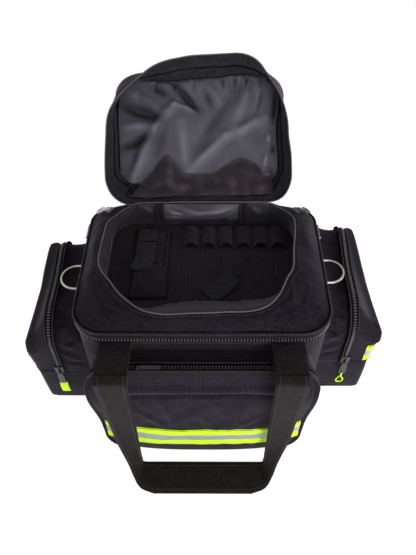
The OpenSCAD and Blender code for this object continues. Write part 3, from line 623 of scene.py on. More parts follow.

# Soft folds of the border, and the painted shade along its creases, as lines in plan
BORDER_FOLDS = [
    (147, 10, 148, -50, 4, 3.4), (148, -50, 135, -92, 4, 3.6), (135, -92, 92, -118, 4, 3.0),
    (-138, -94, -104, -112, 5, 3.2), (-118, -104, -78, -124, 5, 2.6), (-96, -126, -84, -134, 6, 2.2),
    (-182, 40, -172, -30, 9, 1.8), (178, 70, 184, 10, 9, 1.6), (-40, -128, 30, -130, 7, 1.6),
    (-168, -96, -150, -116, 7, 2.0), (60, -130, 110, -126, 6, 1.8),
]
BORDER_CREASE_SHADE = [
    (147, 0, 149, -40, 1.8, 0.9), (149, -40, 146, -66, 1.8, 0.9), (146, -66, 136, -88, 1.8, 0.9),
    (136, -88, 108, -108, 1.8, 0.9), (-140, -84, -124, -104, 2.2, 0.8), (-126, -103, -90, -115, 2.0, 0.9),
    (-98, -131, -82, -146, 3.0, 0.6), (-92, -120, -60, -124, 5.0, 0.5), (96, -116, 40, -122, 5.0, 0.45),
]


def slumped(points, share):
    """Moves points near the pocket's mouth: the mean of the moves listed, by a bell curve of distance."""
    gap = points[..., None, :2] - MOUTH_SLUMP[:, :2]
    weight = np.exp(-(gap ** 2).sum(-1) / SLUMP_REACH ** 2)
    move = weight @ MOUTH_SLUMP[:, 2:] / (weight.sum(-1, keepdims=True) + 0.15)
    return points + move * np.broadcast_to(share, points.shape[:-1])[..., None]


def lid_border():
    """Border of the lid: an upright skirt, then a padded slope up to the pocket's mouth and a hem turned in.

    Across the slope each point goes straight from the bag's outline to the mouth's, raised by a low arch, by
    folds along lines in plan and by uneven ripples.
    """
    outer, mouth = ring(BODY, ROUND), ring(OPENING, ROUND, BORDER_T)
    skirt, slope = 6, 34
    hem_rise, hem_pull = [0.2, -0.4, -2.5], [1.2, 2.6, 3.0]
    near_mouth, near_rim = 36, 8
    rise = np.linspace(0, 1, slope)
    f = np.concatenate([np.zeros(skirt), rise, np.ones(len(hem_rise))])
    z = np.concatenate([np.linspace(SKIRT_Z, RIM_Z - 1.5, skirt), RIM_Z + (OPENING_Z - RIM_Z) * rise,
                        OPENING_Z + np.array(hem_rise)])
    pull = np.concatenate([np.zeros(skirt + slope), hem_pull])
    plan = outer[:, None] + (mouth - outer)[:, None] * f[:, None]
    plan = plan - unit(plan) * pull[:, None]
    x, y = plan[..., 0], plan[..., 1]
    arch = np.sin(np.pi * f)
    lift = arch * (3.4 + 1.8 * ripple(x, y, 60, 21) + 0.7 * ripple(x, y, 22, 22))
    z = z + (lift + arch * folds(x, y, BORDER_FOLDS))
    points = slumped(np.concatenate([plan, np.broadcast_to(z, x.shape)[..., None]], 2), f ** 1.5)
    # Painted shade along the border's creases, carried to the cloth by the tone attribute
    dark = np.clip(folds(points[..., 0], points[..., 1], BORDER_CREASE_SHADE), 0, 0.9)
    border = Grid(points, wrap_rows=True, inside=(0, 0, 150), tone=dark)
    piece("lid_border_cloth", [border], [cloth], "main_lid", ["lid_border"], thick=1.6)
    out = unit(np.column_stack([unit(outer) * 0.5, np.full(len(outer), 0.85)]))
    rows = [stitching(points[:, row], out, closed=True, lift=0.3) for row in (near_mouth, near_rim)]
    piece("lid_border_stitches", rows, [thread, thread], "main_lid")


def lid_piping():
    """Piping round the rim: a cord in a turned strip between two black strips of painted seam shade, and a
    row of stitches below.
    """
    path = even_ring(BODY, 420)
    out = unit(np.column_stack([path, np.zeros(len(path))]))
    line = np.column_stack([path, np.full(len(path), RIM_Z - 1.5)]) + out * 0.8
    grids = [Grid(carried(line, out, round_profile(2.8, 12), True), True, True, flip=True),
             # Painted shade: black strips above and below the cord stand for the dark lines of the seam
             flat_tape(line + UP * 3.2 - out * 1.6, unit(out + UP), 3.0, 1.4, closed=True, paint=1),
             flat_tape(line - UP * 3.6, out, 3.0, 0.8, closed=True, paint=1),
             flat_tape(line - UP * 8.0, out, 5.0, 1.0, lift=-0.6, closed=True),
             stitching(line - UP * 8.0, out, lift=0.2, closed=True, paint=2)]
    piece("lid_piping_cord", grids, [facing, binding_and_seam_shade, thread], "main_lid", ["lid_piping"])


def pocket_inside():
    """Walls and floor of the top pocket, both ripstop, the walls slack and the floor softly uneven.

    The wall leans in by a slack that is nothing at both seams, and by a deeper bulge along the front.
    """
    bulge_most, bulge_x, bulge_half = 31, 10, 118
    edge = even_ring(OPENING, 320)
    t = np.linspace(0, 1, 26)
    s = lengths(edge)
    slack = np.sin(np.pi * t) * (2.0 + 1.6 * ripple(*np.meshgrid(s, t * 50, indexing="ij"), 38, 31))
    in_front = ease(-edge[:, 1] / 100) * ease((bulge_half - np.abs(edge[:, 0] - bulge_x)) / 50)
    bulge = bulge_most * in_front[:, None]
    slack = slack + bulge * np.sin(np.pi * t ** 2.6) ** 0.8
    plan = edge[:, None] * (1 - (1.2 + slack[..., None]) / np.linalg.norm(edge, axis=1)[:, None, None])
    z = np.broadcast_to(FLOOR_Z + (OPENING_Z - 2.4 - FLOOR_Z) * t, slack.shape)
    points = slumped(np.concatenate([plan, z[..., None]], 2), t ** 1.5)
    walls = Grid(points, wrap_rows=True, inside=(0, 0, 1e6))
    piece("pocket_wall_cloth", [walls], [dark_satin], "main_lid", ["pocket_lining"], thick=0.8)
    f = np.linspace(0, 0.995, 60)
    floor = edge[:, None] * f[:, None]
    lift = 0.5 * ripple(floor[..., 0], floor[..., 1], 80, 33) * np.sin(np.pi * f) - 0.3
    points = np.concatenate([floor, (FLOOR_Z + lift)[..., None]], 2)
    uv = np.concatenate([points[..., :2], points[:1, :, :2]]) * MM
    ground = Grid(points, wrap_rows=True, inside=(0, 0, 0), uv=uv)
    piece("pocket_floor_cloth", [ground], [floor_cloth], "main_lid", ["pocket_floor"], thick=1.4,
          weld=True)


def pocket_zip():
    """Zip round the mouth of the top pocket: a worn coil on the hem's inner edge, over a narrow tape."""
    path = even_ring(OPENING, 400)
    out = unit(np.column_stack([path * 0.35, np.full(len(path), 90.0)]))
    line = slumped(np.column_stack([path * 1.004, np.full(len(path), OPENING_Z + 0.6)]), 1.0)
    teeth = beads(line, out, RIM_TOOTH, 1.35, 0.45, closed=True, paint=1)
    band = flat_tape(line - UP * 1.2, out, 5.0, 0.8, closed=True)
    piece("pocket_zip_coil", [teeth, band], [tape, pale_coil], "main_lid", ["pocket_zip"])


# Fittings on the pocket's floor

def patch(x, y, height):
    """A grid over x and y, raised by a height worked out from both."""
    x, y = np.meshgrid(x, y, indexing="ij")
    return np.stack([x, y, height(x, y) + np.zeros_like(x)], -1)


def elastic_loops():
    """One elastic band sewn down between its loops: a half round over each loop, its front edge drawn up."""
    low, high = node_box("elastic_loops")
    count, radius, end = 6, 12.5, 7.0
    centres = np.linspace(low[0] + radius, high[0] - radius, count)
    turn = np.linspace(0, np.pi, 15)
    x = (centres[:, None] - radius * np.cos(turn)).ravel()
    z = np.tile(0.6 + (radius - 1.0) * np.sin(turn), count)
    x = np.concatenate([[x[0] - end], x, [x[-1] + end]])
    z = np.concatenate([[0.4], z, [0.4]])
    y = np.linspace(0, 1, 14)
    front = low[1] + 5.0 * (z / radius) ** 2
    depth = front[:, None] + (high[1] - front)[:, None] * y
    sag = 1 - 0.12 * np.sin(np.pi * y)
    points = np.stack([np.broadcast_to(x[:, None], depth.shape), depth, FLOOR_Z + z[:, None] * sag], -1)
    grids = [Grid(points, inside=(60, 85, 0))]
    rows = np.linspace(low[1] + 1, high[1] - 1, 12)
    for middle in (centres[:-1] + centres[1:]) / 2:
        line = np.column_stack([np.full(12, middle), rows, np.full(12, FLOOR_Z + 1.6)])
        grids.append(stitching(line, UP))
    piece("elastic_loop_band", grids, [elastic, thread], "main_lid", ["elastic_loops"], thick=1.3)


def scissor_sheath():
    """Sheath of doubled cloth: a flat backing with a bound edge, and a sleeve that stands open at its top.

    The sleeve is highest along its middle and rises towards its mouth.
    """
    low, high = node_box("scissor_sheath")
    sleeve_l, edge_r = 60.0, 4.0
    x, y = np.linspace(low[0], high[0], 30), np.linspace(low[1], high[1], 60)
    back = patch(x, y, lambda a, b: FLOOR_Z + 1.4 + 0.5 * ripple(a, b, 40, 41))
    x = np.linspace(low[0] + 1, high[0] - 6, 40)
    y = np.linspace(low[1] + 6, low[1] + 6 + sleeve_l, 36)

    def swell(a, b):
        across_it = (a - x[0]) / (x[-1] - x[0])
        up_it = (b - y[0]) / (y[-1] - y[0])
        arch = np.sin(np.pi * across_it) ** 0.5 * (2.5 + 7.0 * up_it)
        return FLOOR_Z + 2.2 + arch + 0.8 * ripple(a, b, 26, 42)

    edge = [(low[0], high[1]), (low[0], low[1]), (high[0], low[1]), (high[0], high[1])]
    hem = np.column_stack([bent(edge, edge_r, 160), np.full(160, FLOOR_Z + 2.2)])
    grids = [Grid(back, inside=(0, 0, 0)), Grid(patch(x, y, swell), inside=(-90, -20, 0)),
             flat_tape(hem, UP, 7.0, 1.2, shift=2.5, paint=1),
             stitching(hem + UP * 0.7, UP, shift=4.6, paint=2)]
    piece("scissor_sheath_cloth", grids, [floor_cloth, tape, thread], "main_lid", ["scissor_sheath"],
          thick=1.0)


def sheath_strap():
    """Webbing that closes the sheath: a short sewn end, and a tongue folded back on itself lower down."""
    low, high = node_box("sheath_strap")
    middle, width, top = (low[0] + high[0]) / 2 + 2, high[0] - low[0], FLOOR_Z + 3.4
    head, foot = high[1], low[1]
    end = [(middle, head, top), (middle, head - 24, top), (middle, head - 30, top + 0.4)]
    tongue = [(middle, head - 34, top + 1.0), (middle, head - 44, top + 3.2), (middle, head - 70, top + 4.2),
              (middle - 3, foot + 2, top + 7.5), (middle - 4, foot - 8, top + 9.5),
              (middle - 4, foot - 11, top + 7.4), (middle - 4, foot - 8, top + 5.6),
              (middle - 3, foot + 8, top + 4.2)]
    grids = []
    for points in (end, tongue):
        line = smooth(np.array(points), 60)
        out = unit(np.cross(np.array([1.0, 0, 0]), np.gradient(line, axis=0)))
        grids.append(flat_tape(line, -out, width, 1.8))
    seam = np.array([(middle + side * (width / 2 - 3), head - 4, top + 1.0) for side in (-1, 1)])
    grids += [stitching(even(seam - [0, gap, 0], 20), UP, lift=0.2) for gap in (0, 14)]
    piece("sheath_strap_webbing", grids, [soft_webbing, thread], "main_lid", ["sheath_strap"])


def keeper_tab():
    """Loose webbing tab, sewn at one end and curled up at the other."""
    turn, width, seam = math.radians(43), 33, 13
    along = np.array([math.cos(turn), math.sin(turn), 0])
    side = np.array([-math.sin(turn), math.cos(turn), 0])
    middle, half_length = np.array([30.0, -32.0, FLOOR_Z + 1.9]), 27
    start = middle - half_length * along
    rise = np.array([(0, 0.0), (10, 0.2), (26, 1.0), (40, 4.2), (50, 8.6), (55, 12.0)])
    line = smooth(start + rise[:, :1] * along + rise[:, 1:] * UP, 40)
    out = unit(np.cross(np.gradient(line, axis=0), -side))
    out = out * np.sign(out[:, 2:])
    grids = [flat_tape(line, out, width, 1.8)]
    for at in (3, 8):
        ends = np.array([start + at * along - seam * side, start + at * along + seam * side]) + UP * 1.1
        grids.append(stitching(even(ends, 20), UP))
    piece("keeper_tab_webbing", grids, [soft_webbing, thread], "keeper_tab", ["keeper_tab"])


# Hinge between the pocket and its hood

# Swags of the strip, and the painted highlight along them, as lines of (x, z)
HINGE_SWAGS = [
    (-60, 297, -10, 276, 6, 5), (60, 297, 0, 274, 7, 5.5), (-66, 290, -40, 270, 5, 3.5),
    (64, 286, 30, 268, 5, 3.5), (-110, 296, -90, 276, 6, 3.0), (84, 294, 108, 274, 6, 3.5),
    (-20, 292, 30, 290, 6, 3.0),
]
HINGE_PAINTED_HIGHLIGHT = [
    (-66, 284, -24, 276, 4, 0.7), (-24, 277, 54, 292, 4, 0.7), (-60, 272, -40, 266, 3, 0.5),
]


def hinge_cloth():
    """Satin strip that joins pocket and hood: an upright sheet that bellies forward between its seams."""
    low, high = node_box("hinge_strip")
    wide, tall = np.linspace(low[0], high[0], 160), np.linspace(low[2], OPENING_Z - 0.5, 36)
    x, z = np.meshgrid(wide, tall, indexing="ij")
    t = (z - low[2]) / (OPENING_Z - low[2])
    swag = folds(x, z, HINGE_SWAGS)
    belly = np.sin(np.pi * np.clip(t, 0, 1)) ** 0.7 * (2.2 + 1.5 * ripple(x, z, 34, 51))
    out = belly + swag * np.sin(np.pi * t)
    points = np.stack([x, high[1] - 0.6 - out, z], -1)
    left_tape, right_tape, blur = -72, 64, 6
    ends = ease((left_tape - x) / blur) + ease((x - right_tape) / blur)
    # Tone: darker beyond the tapes, painted shade under the hood, and painted highlight along the swags
    tone = 0.75 * ends + 0.35 * ease((z - 284) / 10) * ease((46 - np.abs(x + 14)) / 20)
    tone = tone - folds(x, z, HINGE_PAINTED_HIGHLIGHT)
    made = piece("hinge_strip_satin", [Grid(points, inside=(0, 1000, 280), tone=tone)], [satin], "main_lid",
                 ["hinge_strip"], thick=0.4)


def hinge_tapes():
    """Two sewn tapes over the hinge strip, each with a row of stitches by both edges."""
    low, high = node_box("hinge_strip")
    foot, wall = low[2], high[1]
    grids = []
    for middle in (-78, 72):
        line = smooth([(middle, wall - 9.5, foot - 1), (middle + 1, wall - 9.8, foot + 12),
                       (middle, wall - 8.5, foot + 26), (middle, wall - 1.5, OPENING_Z + 0.5)], 40)
        out = unit(np.broadcast_to(np.array([0, -1.0, 0.15]), line.shape))
        grids.append(flat_tape(line, out, 15, 1.0))
        grids += [stitching(line, out, shift=side * 5.5, lift=0.7) for side in (-1, 1)]
    piece("hinge_tape_webbing", grids, [webbing, thread], "main_lid", ["hinge_tapes"])


# Hood of the top pocket, worked out as distance from the hinge and depth behind its mouth

# How the soft hood sits in the photograph: at (across, along, depth) it is moved by (across, along)
HOOD_SLUMP = np.array([
    (-133, 3, 0, -8, -6), (-167, 91, 0, -10, -3), (-166, 140, 0, -3, 0), (-114, 215, 0, -4, 3),
    (-81, 246, 0, 3, -4), (0, 254, 0, 0, 5), (45, 254, 0, 3, 8), (87, 242, 0, 9, 12), (119, 209, 0, 3, 3),
    (166, 139, 0, -19, 0), (167, 58, 0, -10, 3), (112, 0, 0, -2, 0), (0, 3, 0, -2, 0),
    (-150, 154, 45, -16, 2), (-150, 189, 45, -18, 7), (-146, 214, 45, -12, 6), (150, 198, 45, -3, 0),
    (140, 223, 45, 0, 0), (123, 235, 45, 4, 3), (0, 225, 50, -3, 4), (0, 140, 50, -6, 0),
    (0, 60, 50, -6, 0), (-150, 80, 45, -10, 0), (150, 80, 45, -8, 0), (150, 140, 45, -12, 0),
], float)
# How far away each of these moves is felt
HOOD_REACH = 42.0


def in_hood(x, along, depth):
    """Puts a point of the hood in place: slumped as in the photograph, then folded back about the hinge.

    along runs from the hinge over the mouth and depth away from it. The slump is a mean of the moves listed
    above, each weighed by a bell curve of its distance.
    """
    x, along, depth = np.broadcast_arrays(np.asarray(x, float), along, depth)
    gap = np.stack([x, along, depth], -1)[..., None, :] - HOOD_SLUMP[:, :3]
    weight = np.exp(-(gap ** 2).sum(-1) / HOOD_REACH ** 2)
    move = weight @ HOOD_SLUMP[:, 3:] / (weight.sum(-1, keepdims=True) + 0.05)
    y, z = -along - move[..., 1], depth
    c, s = math.cos(HOOD_OPEN), math.sin(HOOD_OPEN)
    return np.stack([x + move[..., 0], y * c + z * s, z * c - y * s], -1) + HOOD_AXIS


HOOD_ROUND = np.arctan2(*even_ring(OPENING, 420).T[::-1])
MOUTH = ring(OPENING, HOOD_ROUND, BORDER_T - 0.4)
CREST = ring(CROWN, HOOD_ROUND)
HOOD_INSIDE = in_hood(0.0, 120.0, 5.0)
# Depth of the gusset's hem behind the mouth, and how far the gusset rises from it
HOOD_HEM = 0.4
HOOD_RISE = HOOD_H - 3


def hood_shell():
    """Outer cloth of the hood: a padded gusset from mouth to crown, a soft edge, and a low domed crown."""
    levels = 26
    t = np.linspace(0, 1, levels)
    s = lengths(CREST)[:, None]
    puff = np.sin(np.pi * t) * (3.2 + 1.8 * ripple(s, t * 55, 48, 61))
    side = MOUTH[:, None] + (CREST - MOUTH)[:, None] * t[:, None]
    side = side + unit(side) * puff[..., None]
    deep = np.broadcast_to(HOOD_HEM + HOOD_RISE * t, puff.shape)
    f = np.concatenate([[0.992, 0.982, 0.965], np.linspace(0.94, 0, 40)])
    top = CREST[:, None] * f[:, None]
    dome = HOOD_RISE + 3.0 * np.sqrt(np.clip((1 - f) / 0.06, 0, 1)) + 3.5 * (1 - f ** 2)
    dome = dome + (1 - f ** 4) * 1.8 * ripple(top[..., 0], top[..., 1], 85, 62)
    plan = np.concatenate([side, top], 1)
    depth = np.concatenate([deep, np.broadcast_to(dome, top.shape[:2])], 1)
    points = in_hood(plan[..., 0], HOOD_AXIS[1] - plan[..., 1], depth)
    shell = Grid(points, wrap_rows=True, inside=HOOD_INSIDE)
    piece("hood_shell_cloth", [shell], [cloth], "hood", ["hood_shell"], thick=1.0, weld=True)
    seam_out = unit(points[:, levels + 1] - HOOD_INSIDE)
    seam = [flat_tape(points[:, levels], seam_out, 5.0, 1.2, closed=True)]
    for row in (levels - 3, levels + 4):
        seam.append(stitching(points[:, row], unit(points[:, row] - HOOD_INSIDE), lift=0.4, closed=True))
    piece("hood_seam", seam, [tape, thread], "hood")


# The lining laid flat: distances from the hinge with half its width there, and the line it turns at
LINING_ROWS = np.array([
    (8, 122), (20, 136), (50, 145), (90, 147), (150, 146), (195, 142), (214, 134), (226, 116),
], float)
LINING_CREASE = [
    (-160, 16), (-134, 26), (-110, 42), (-89, 62), (-76, 82), (-63, 92), (-52, 84), (-40, 66), (-29, 57),
    (-4, 56), (25, 58), (46, 72), (73, 86), (96, 80), (114, 67), (122, 54), (160, 40),
]
# Its folds as lines of (across, along): how deep they are, and where painted shade and painted highlight lie
LINING_FOLDS = [
    (-53, 184, -90, 125, 9, 9), (-90, 125, -132, 30, 10, 8), (-53, 184, -8, 170, 5, 6),
    (-52, 214, -5, 172, 7, -7), (-39, 152, -29, 62, 11, 6), (-64, 160, -86, 84, 9, -5),
    (124, 160, 45, 126, 10, 7), (45, 126, -24, 60, 10, 8), (54, 199, -3, 111, 12, -6),
    (-134, 174, -71, 155, 9, -7), (-141, 103, -92, 127, 9, -7), (-145, 142, -86, 142, 8, 6),
    (-112, 200, -74, 172, 8, 6), (101, 222, 97, 160, 6, 5), (80, 215, 60, 150, 9, 5),
    (2, 204, 20, 178, 6, -5), (14, 212, 34, 186, 6, 4), (126, 92, 120, 70, 6, 6),
    (134, 130, 130, 112, 6, 6), (-124, 30, -108, 16, 7, 6), (118, 54, 106, 44, 6, 5),
    (70, 150, 40, 100, 10, -3),
]
LINING_PAINTED_SHADE = [
    (-136, 176, -72, 156, 11, 1.5), (-142, 102, -94, 126, 9, 1.5), (-50, 216, -8, 172, 6, 1.8),
    (-88, 211, -62, 196, 9, 1.0), (56, 203, 0, 114, 11, 0.6), (-120, 22, -96, 24, 9, 1.3),
    (3, 206, 20, 180, 5, 0.8), (131, 205, 139, 150, 6, 1.2), (139, 106, 137, 92, 5, 1.2),
    (106, 202, 99, 160, 5, 0.5), (-66, 158, -84, 96, 9, 0.6), (-150, 60, -146, 20, 7, 1.0),
    (134, 62, 128, 40, 6, 1.2), (-110, 110, -124, 70, 6, 0.4), (-64, 226, -48, 214, 4, 1.2),
]
LINING_PAINTED_HIGHLIGHT = [
    (-53, 183, -90, 125, 6, 0.5), (-90, 125, -130, 34, 7, 0.45), (-55, 184, -10, 170, 3, 0.4),
    (-37, 148, -29, 66, 9, 0.45), (120, 158, 45, 126, 7, 0.45), (45, 126, -22, 62, 7, 0.55),
    (100, 218, 94, 170, 5, 0.4), (78, 212, 62, 156, 8, 0.3), (-142, 141, -96, 142, 7, 0.35),
    (126, 90, 122, 72, 3, 1.0), (133, 128, 131, 116, 3, 0.9), (122, 52, 132, 54, 3, 1.0),
    (-118, 22, -104, 16, 3, 0.8), (-120, 204, -112, 190, 6, 0.4),
]
# Gathers along its top edge: how far across each starts and how far it leans
GATHERS = [
    (35, 3), (46, 4), (55, 1), (64, -1), (74, -2), (86, -4), (101, -2), (-20, 4), (-90, 6), (-60, 8),
]


def lining_width(along):
    """Half the lining's width at a distance from the hinge."""
    return np.interp(along, *smooth(LINING_ROWS, 200).T)


def lining_depth(x, along):
    """Depth of the slack lining behind the mouth: flat under the crown, lifted and sunk along its folds."""
    crown_depth, deepest = 39, 46.0
    gathers = [(at, 230, at + lean, 206, 3.2, -3.4) for at, lean in GATHERS]
    slack = crown_depth - folds(x, along, LINING_FOLDS + gathers) - 1.2 * ripple(x, along, 40, 71)
    return np.minimum(slack, deepest)


def lining_painted_light(x, along):
    """Painted light on the lining: painted shade where its folds turn from the light, painted highlight on
    their ridges.
    """
    gathers = [(at, 228, at + 1, 212, 2.6, 0.9) for at in (35, 55, 74, 101)]
    away = folds(x, along, LINING_PAINTED_SHADE + gathers)
    return np.clip(away, 0, 0.95) - np.clip(folds(x, along, LINING_PAINTED_HIGHLIGHT), 0, 0.9)


def crease(x):
    """Where the lining turns from the crown to the hinge side: a scalloped line across the hood."""
    return np.interp(x, *smooth(LINING_CREASE, 300).T)


def hood_lining():
    """Satin lining: rows from the hinge to a scalloped crease, then over the crown to a gathered top edge.

    Gives the line of its edge, for the facing.
    """
    half, hinge_edge, top_edge, hem = 148, 12, 226, 8
    # Depth of its edge at the crown, and how much less it is at the hinge
    crown_seam, hinge_rise = 42, 32
    t = np.linspace(-1, 1, 190)
    rough_x = t * half
    turn = crease(rough_x)
    lower = np.linspace(0, 1, 34)[:, None]
    upper = np.linspace(0, 1, 120)[1:, None]
    top = top_edge + 6 * ease((rough_x + 60) / 180) + 1.2 * ripple(rough_x, 0 * rough_x, 16, 72)
    low = hinge_edge + 4 * np.abs(t) ** 3
    along = np.concatenate([low + (turn - low) * lower, turn + (top - turn) * upper])
    x = t * lining_width(along)
    below = np.clip((turn - along) / (turn - low), 0, 1)
    depth = lining_depth(x, along) - below ** 0.8 * (34 - 5 * ripple(x, along, 30, 73))
    rim = np.maximum(np.abs(t) ** 10, np.clip((along - top + hem) / hem, 0, 1) ** 2)
    depth = depth * (1 - rim) + (crown_seam - hinge_rise * below) * rim
    points = in_hood(x, along, depth)
    split = len(lower)
    # Below the crease the lining takes the shaded satin copy, painted shade, lightened near the crease by
    # painted highlight
    painted_highlight = -0.3 * np.exp(-(turn - along) / 6) - 0.12 * np.clip(ripple(x, along, 36, 74), 0, 1)
    before = in_hood(0, 120, 200)
    grids = [Grid(points[:split], inside=before, paint=1, tone=painted_highlight[:split]),
             Grid(points[split - 1:], inside=before, tone=lining_painted_light(x, along)[split - 1:])]
    made = piece("hood_lining_satin", grids, [satin, shaded_satin], "hood", ["hood_lining"],
                 thick=0.4, weld=True)
    flat = np.stack([x, along, depth], -1)
    return np.concatenate([flat[0, :-1], flat[:-1, -1], flat[-1, :0:-1], flat[:0:-1, 0]])


def hood_facing(edge):
    """Nylon facing inside the gusset: from the mouth to the lining's edge, bowed, in two layers with a step.

    It is kept inside the shell: no point lies further out than the gusset at its depth.
    """
    middle = HOOD_AXIS[1]
    turn = np.arctan2(middle - edge[:, 1], edge[:, 0])
    order = np.argsort(turn)
    wide = [np.interp(HOOD_ROUND, turn[order], column[order], period=2 * np.pi) for column in edge.T]
    inner = np.stack(wide, -1) * [1.03, 1, 1]
    inner[:, 2] += 2.5
    mouth = np.column_stack([MOUTH[:, 0], middle - MOUTH[:, 1], np.full(len(MOUTH), 0.6)])
    first, second = 12, 18
    t = np.concatenate([np.linspace(0, 0.45, first), np.linspace(0.43, 1, second)])
    step = np.concatenate([np.linspace(0, 0.8, first), np.full(second, 3.2)])
    s = lengths(mouth)[:, None]
    loft = mouth[:, None] + (inner - mouth)[:, None] * t[:, None]
    bow = np.sin(np.pi * t) * (4.0 + 2.4 * ripple(s, t * 40, 42, 81))
    depth = loft[..., 2] + bow + step * np.sin(np.pi * np.clip(t, 0, 1)) ** 0.3
    plan = np.stack([loft[..., 0], middle - loft[..., 1]], -1)
    share = np.clip((depth - HOOD_HEM) / HOOD_RISE, 0, 1)[..., None]
    wall = np.linalg.norm(MOUTH[:, None] + (CREST - MOUTH)[:, None] * share, axis=-1) - 2.0 * ease(depth / 6)
    plan = plan * np.minimum(1, wall / np.linalg.norm(plan, axis=-1))[..., None]
    points = in_hood(plan[..., 0], middle - plan[..., 1], depth)
    facing_in = unit(HOOD_INSIDE - points[:, 10])
    grids = [Grid(points, wrap_rows=True, inside=in_hood(0, 120, 2000)),
             stitching(points[:, 8], facing_in, lift=0.4, closed=True),
             flat_tape(points[:, first], facing_in, 3.0, 1.0, lift=0.6, closed=True, paint=2)]
    piece("hood_facing_nylon", grids, [facing, thread, binding_and_seam_shade], "hood", thick=0.5)


def hood_zip():
    """Zip round the hood's mouth: a narrow tape inside the rim and the worn coil on its edge."""
    path = in_hood(MOUTH[:, 0], HOOD_AXIS[1] - MOUTH[:, 1], 0.0)
    beyond = MOUTH + unit(MOUTH)
    out = unit(in_hood(beyond[:, 0], HOOD_AXIS[1] - beyond[:, 1], 0.0) - path)
    inward = unit(np.cross(across(path, out, True)[0], out))
    inward = inward * np.sign((inward * (HOOD_INSIDE - path)).sum())
    teeth = beads(path + out * 0.6, out, RIM_TOOTH, 1.3, 0.4, closed=True, paint=1)
    band = flat_tape(path + inward * 3.0, out, 7.0, 1.0, closed=True)
    piece("hood_zip_coil", [teeth, band], [tape, pale_coil], "hood", ["hood_zip"])


# Front pocket, worked out on its leaning panel as distance up the panel and depth behind it

FRONT_OUT = np.array([0, -math.cos(LEAN), math.sin(LEAN)])
FRONT_UP = np.array([0, math.sin(LEAN), math.cos(LEAN)])
FOOT_R = 26.0
# Stripes of a reflective band from the bottom up: width, and 0 for lime or 1 for silver
STRIPES = ((17.5, 0), (16.5, 1), (16.0, 0))
# Pleat and creases of the panel, as lines of (across, up)
PANEL_FOLDS = [
    (-150, 171, 150, 174, 5, -4.5), (-150, 184, 150, 186, 9, 3.5), (-60, 150, -52, 90, 8, 2.2),
    (70, 160, 60, 100, 9, 2.4), (-8, 130, 6, 84, 8, 1.8), (100, 110, 60, 84, 7, 2.0),
    (-100, 120, -66, 82, 7, 2.2), (20, 160, 34, 120, 7, 1.6),
]


def on_front(x, up, deep):
    """Puts a point of the front pocket in place."""
    x, up, deep = np.broadcast_arrays(np.asarray(x, float), up, deep)
    c, s = math.cos(LEAN), math.sin(LEAN)
    return FOOT + np.stack([x, up * s + deep * c, up * c - deep * s], -1)


def drawn_in(up):
    """How far the soft pocket's sides draw in towards its foot."""
    return 12 * (1 - ease(up / 170))


def front_half(up):
    """Half the panel's width at a height: sides drawn in towards the foot, rounded top and foot corners."""
    top = np.clip(up - (PANEL_H - PANEL_R), 0, PANEL_R)
    foot = np.clip(FOOT_R - up, 0, FOOT_R)
    top_corner = PANEL_R - np.sqrt(PANEL_R ** 2 - top ** 2)
    foot_corner = FOOT_R - np.sqrt(FOOT_R ** 2 - foot ** 2)
    return PANEL_HALF - drawn_in(up) - top_corner - foot_corner


def set_back(x, up):
    """How far the panel curves back towards its sides, most at the foot."""
    return 20 * np.clip(np.abs(x) / PANEL_HALF, 0, 1) ** 3 * (1 - ease((up - 60) / 110))


def front_swell(x, up):
    """How far the slack panel stands out: a low pillow, a pleat across its upper part, creases, ripples."""
    t = np.clip(np.abs(x) / PANEL_HALF, 0, 1)
    level = np.clip(up / PANEL_H, 0, 1)
    pillow = (1 - t ** 6) * np.sin(np.pi * level) ** 0.6
    slack = 4.0 + 1.6 * ripple(x, up, 75, 91) + 0.6 * ripple(x, up, 28, 92)
    return pillow * slack + (1 - t ** 4) * folds(x, up, PANEL_FOLDS)


def front_panel():
    """Front panel: a pillowed sheet with rounded corners, its edge bound with tape."""
    foot = FOOT_R * (1 - np.cos(np.linspace(0, np.pi / 2, 12)))
    middle = np.linspace(FOOT_R + 3, PANEL_H - PANEL_R, 56)
    top = PANEL_H - PANEL_R + PANEL_R * np.sin(np.linspace(0.08, np.pi / 2 - 0.03, 22))
    up = np.concatenate([foot, middle, top])[:, None]
    x = np.linspace(-1, 1, 130) * front_half(up)
    points = on_front(x, up, set_back(x, up) - front_swell(x, up))
    panel = Grid(points, inside=(0, 0, 100))
    piece("front_panel_cloth", [panel], [cloth], "front_cover", ["front_panel"], thick=3.0)
    line = even(np.concatenate([points[:, 0], points[-1, 1:-1], points[::-1, -1]]), 300)
    rim = [flat_tape(line, FRONT_OUT, 6.0, 1.4, shift=2.6, lift=0.2),
           stitching(line, FRONT_OUT, shift=5.0, lift=1.1)]
    piece("front_panel_binding", rim, [tape, thread], "front_cover")


def striped_band(surface, low, long, count):
    """Reflective band: each stripe a strip on a surface of (along, up), with a row of stitches by each edge.

    A stripe is pillowed across its width, its edges turned down to the cloth; lime lies a little prouder.
    """
    grids, level = [], low
    for width, paint in STRIPES:
        up = np.linspace(level + 0.2, level + width - 0.2, 7)
        along, rise = np.meshgrid(np.linspace(*long, count), up, indexing="ij")
        points, out = surface(along, rise)
        pillow = 0.35 * np.sin(np.linspace(0, np.pi, 7))
        lift = 0.7 + 0.3 * (paint == 0) + pillow + 0.3 * ripple(along, rise, 24, 95)
        top = points + out * lift[..., None]
        under = points - out
        strip = np.concatenate([under[:, :1], top, under[:, -1:]], 1)
        behind = top.mean((0, 1)) - out.mean((0, 1)) * 500
        grids.append(Grid(strip, paint=paint, inside=behind))
        level += width
    for edge in (low + 1.6, level - 1.6):
        points, out = surface(np.linspace(*long, 200), np.full(200, edge))
        grids.append(stitching(points, out, lift=1.3, paint=2))
    return grids


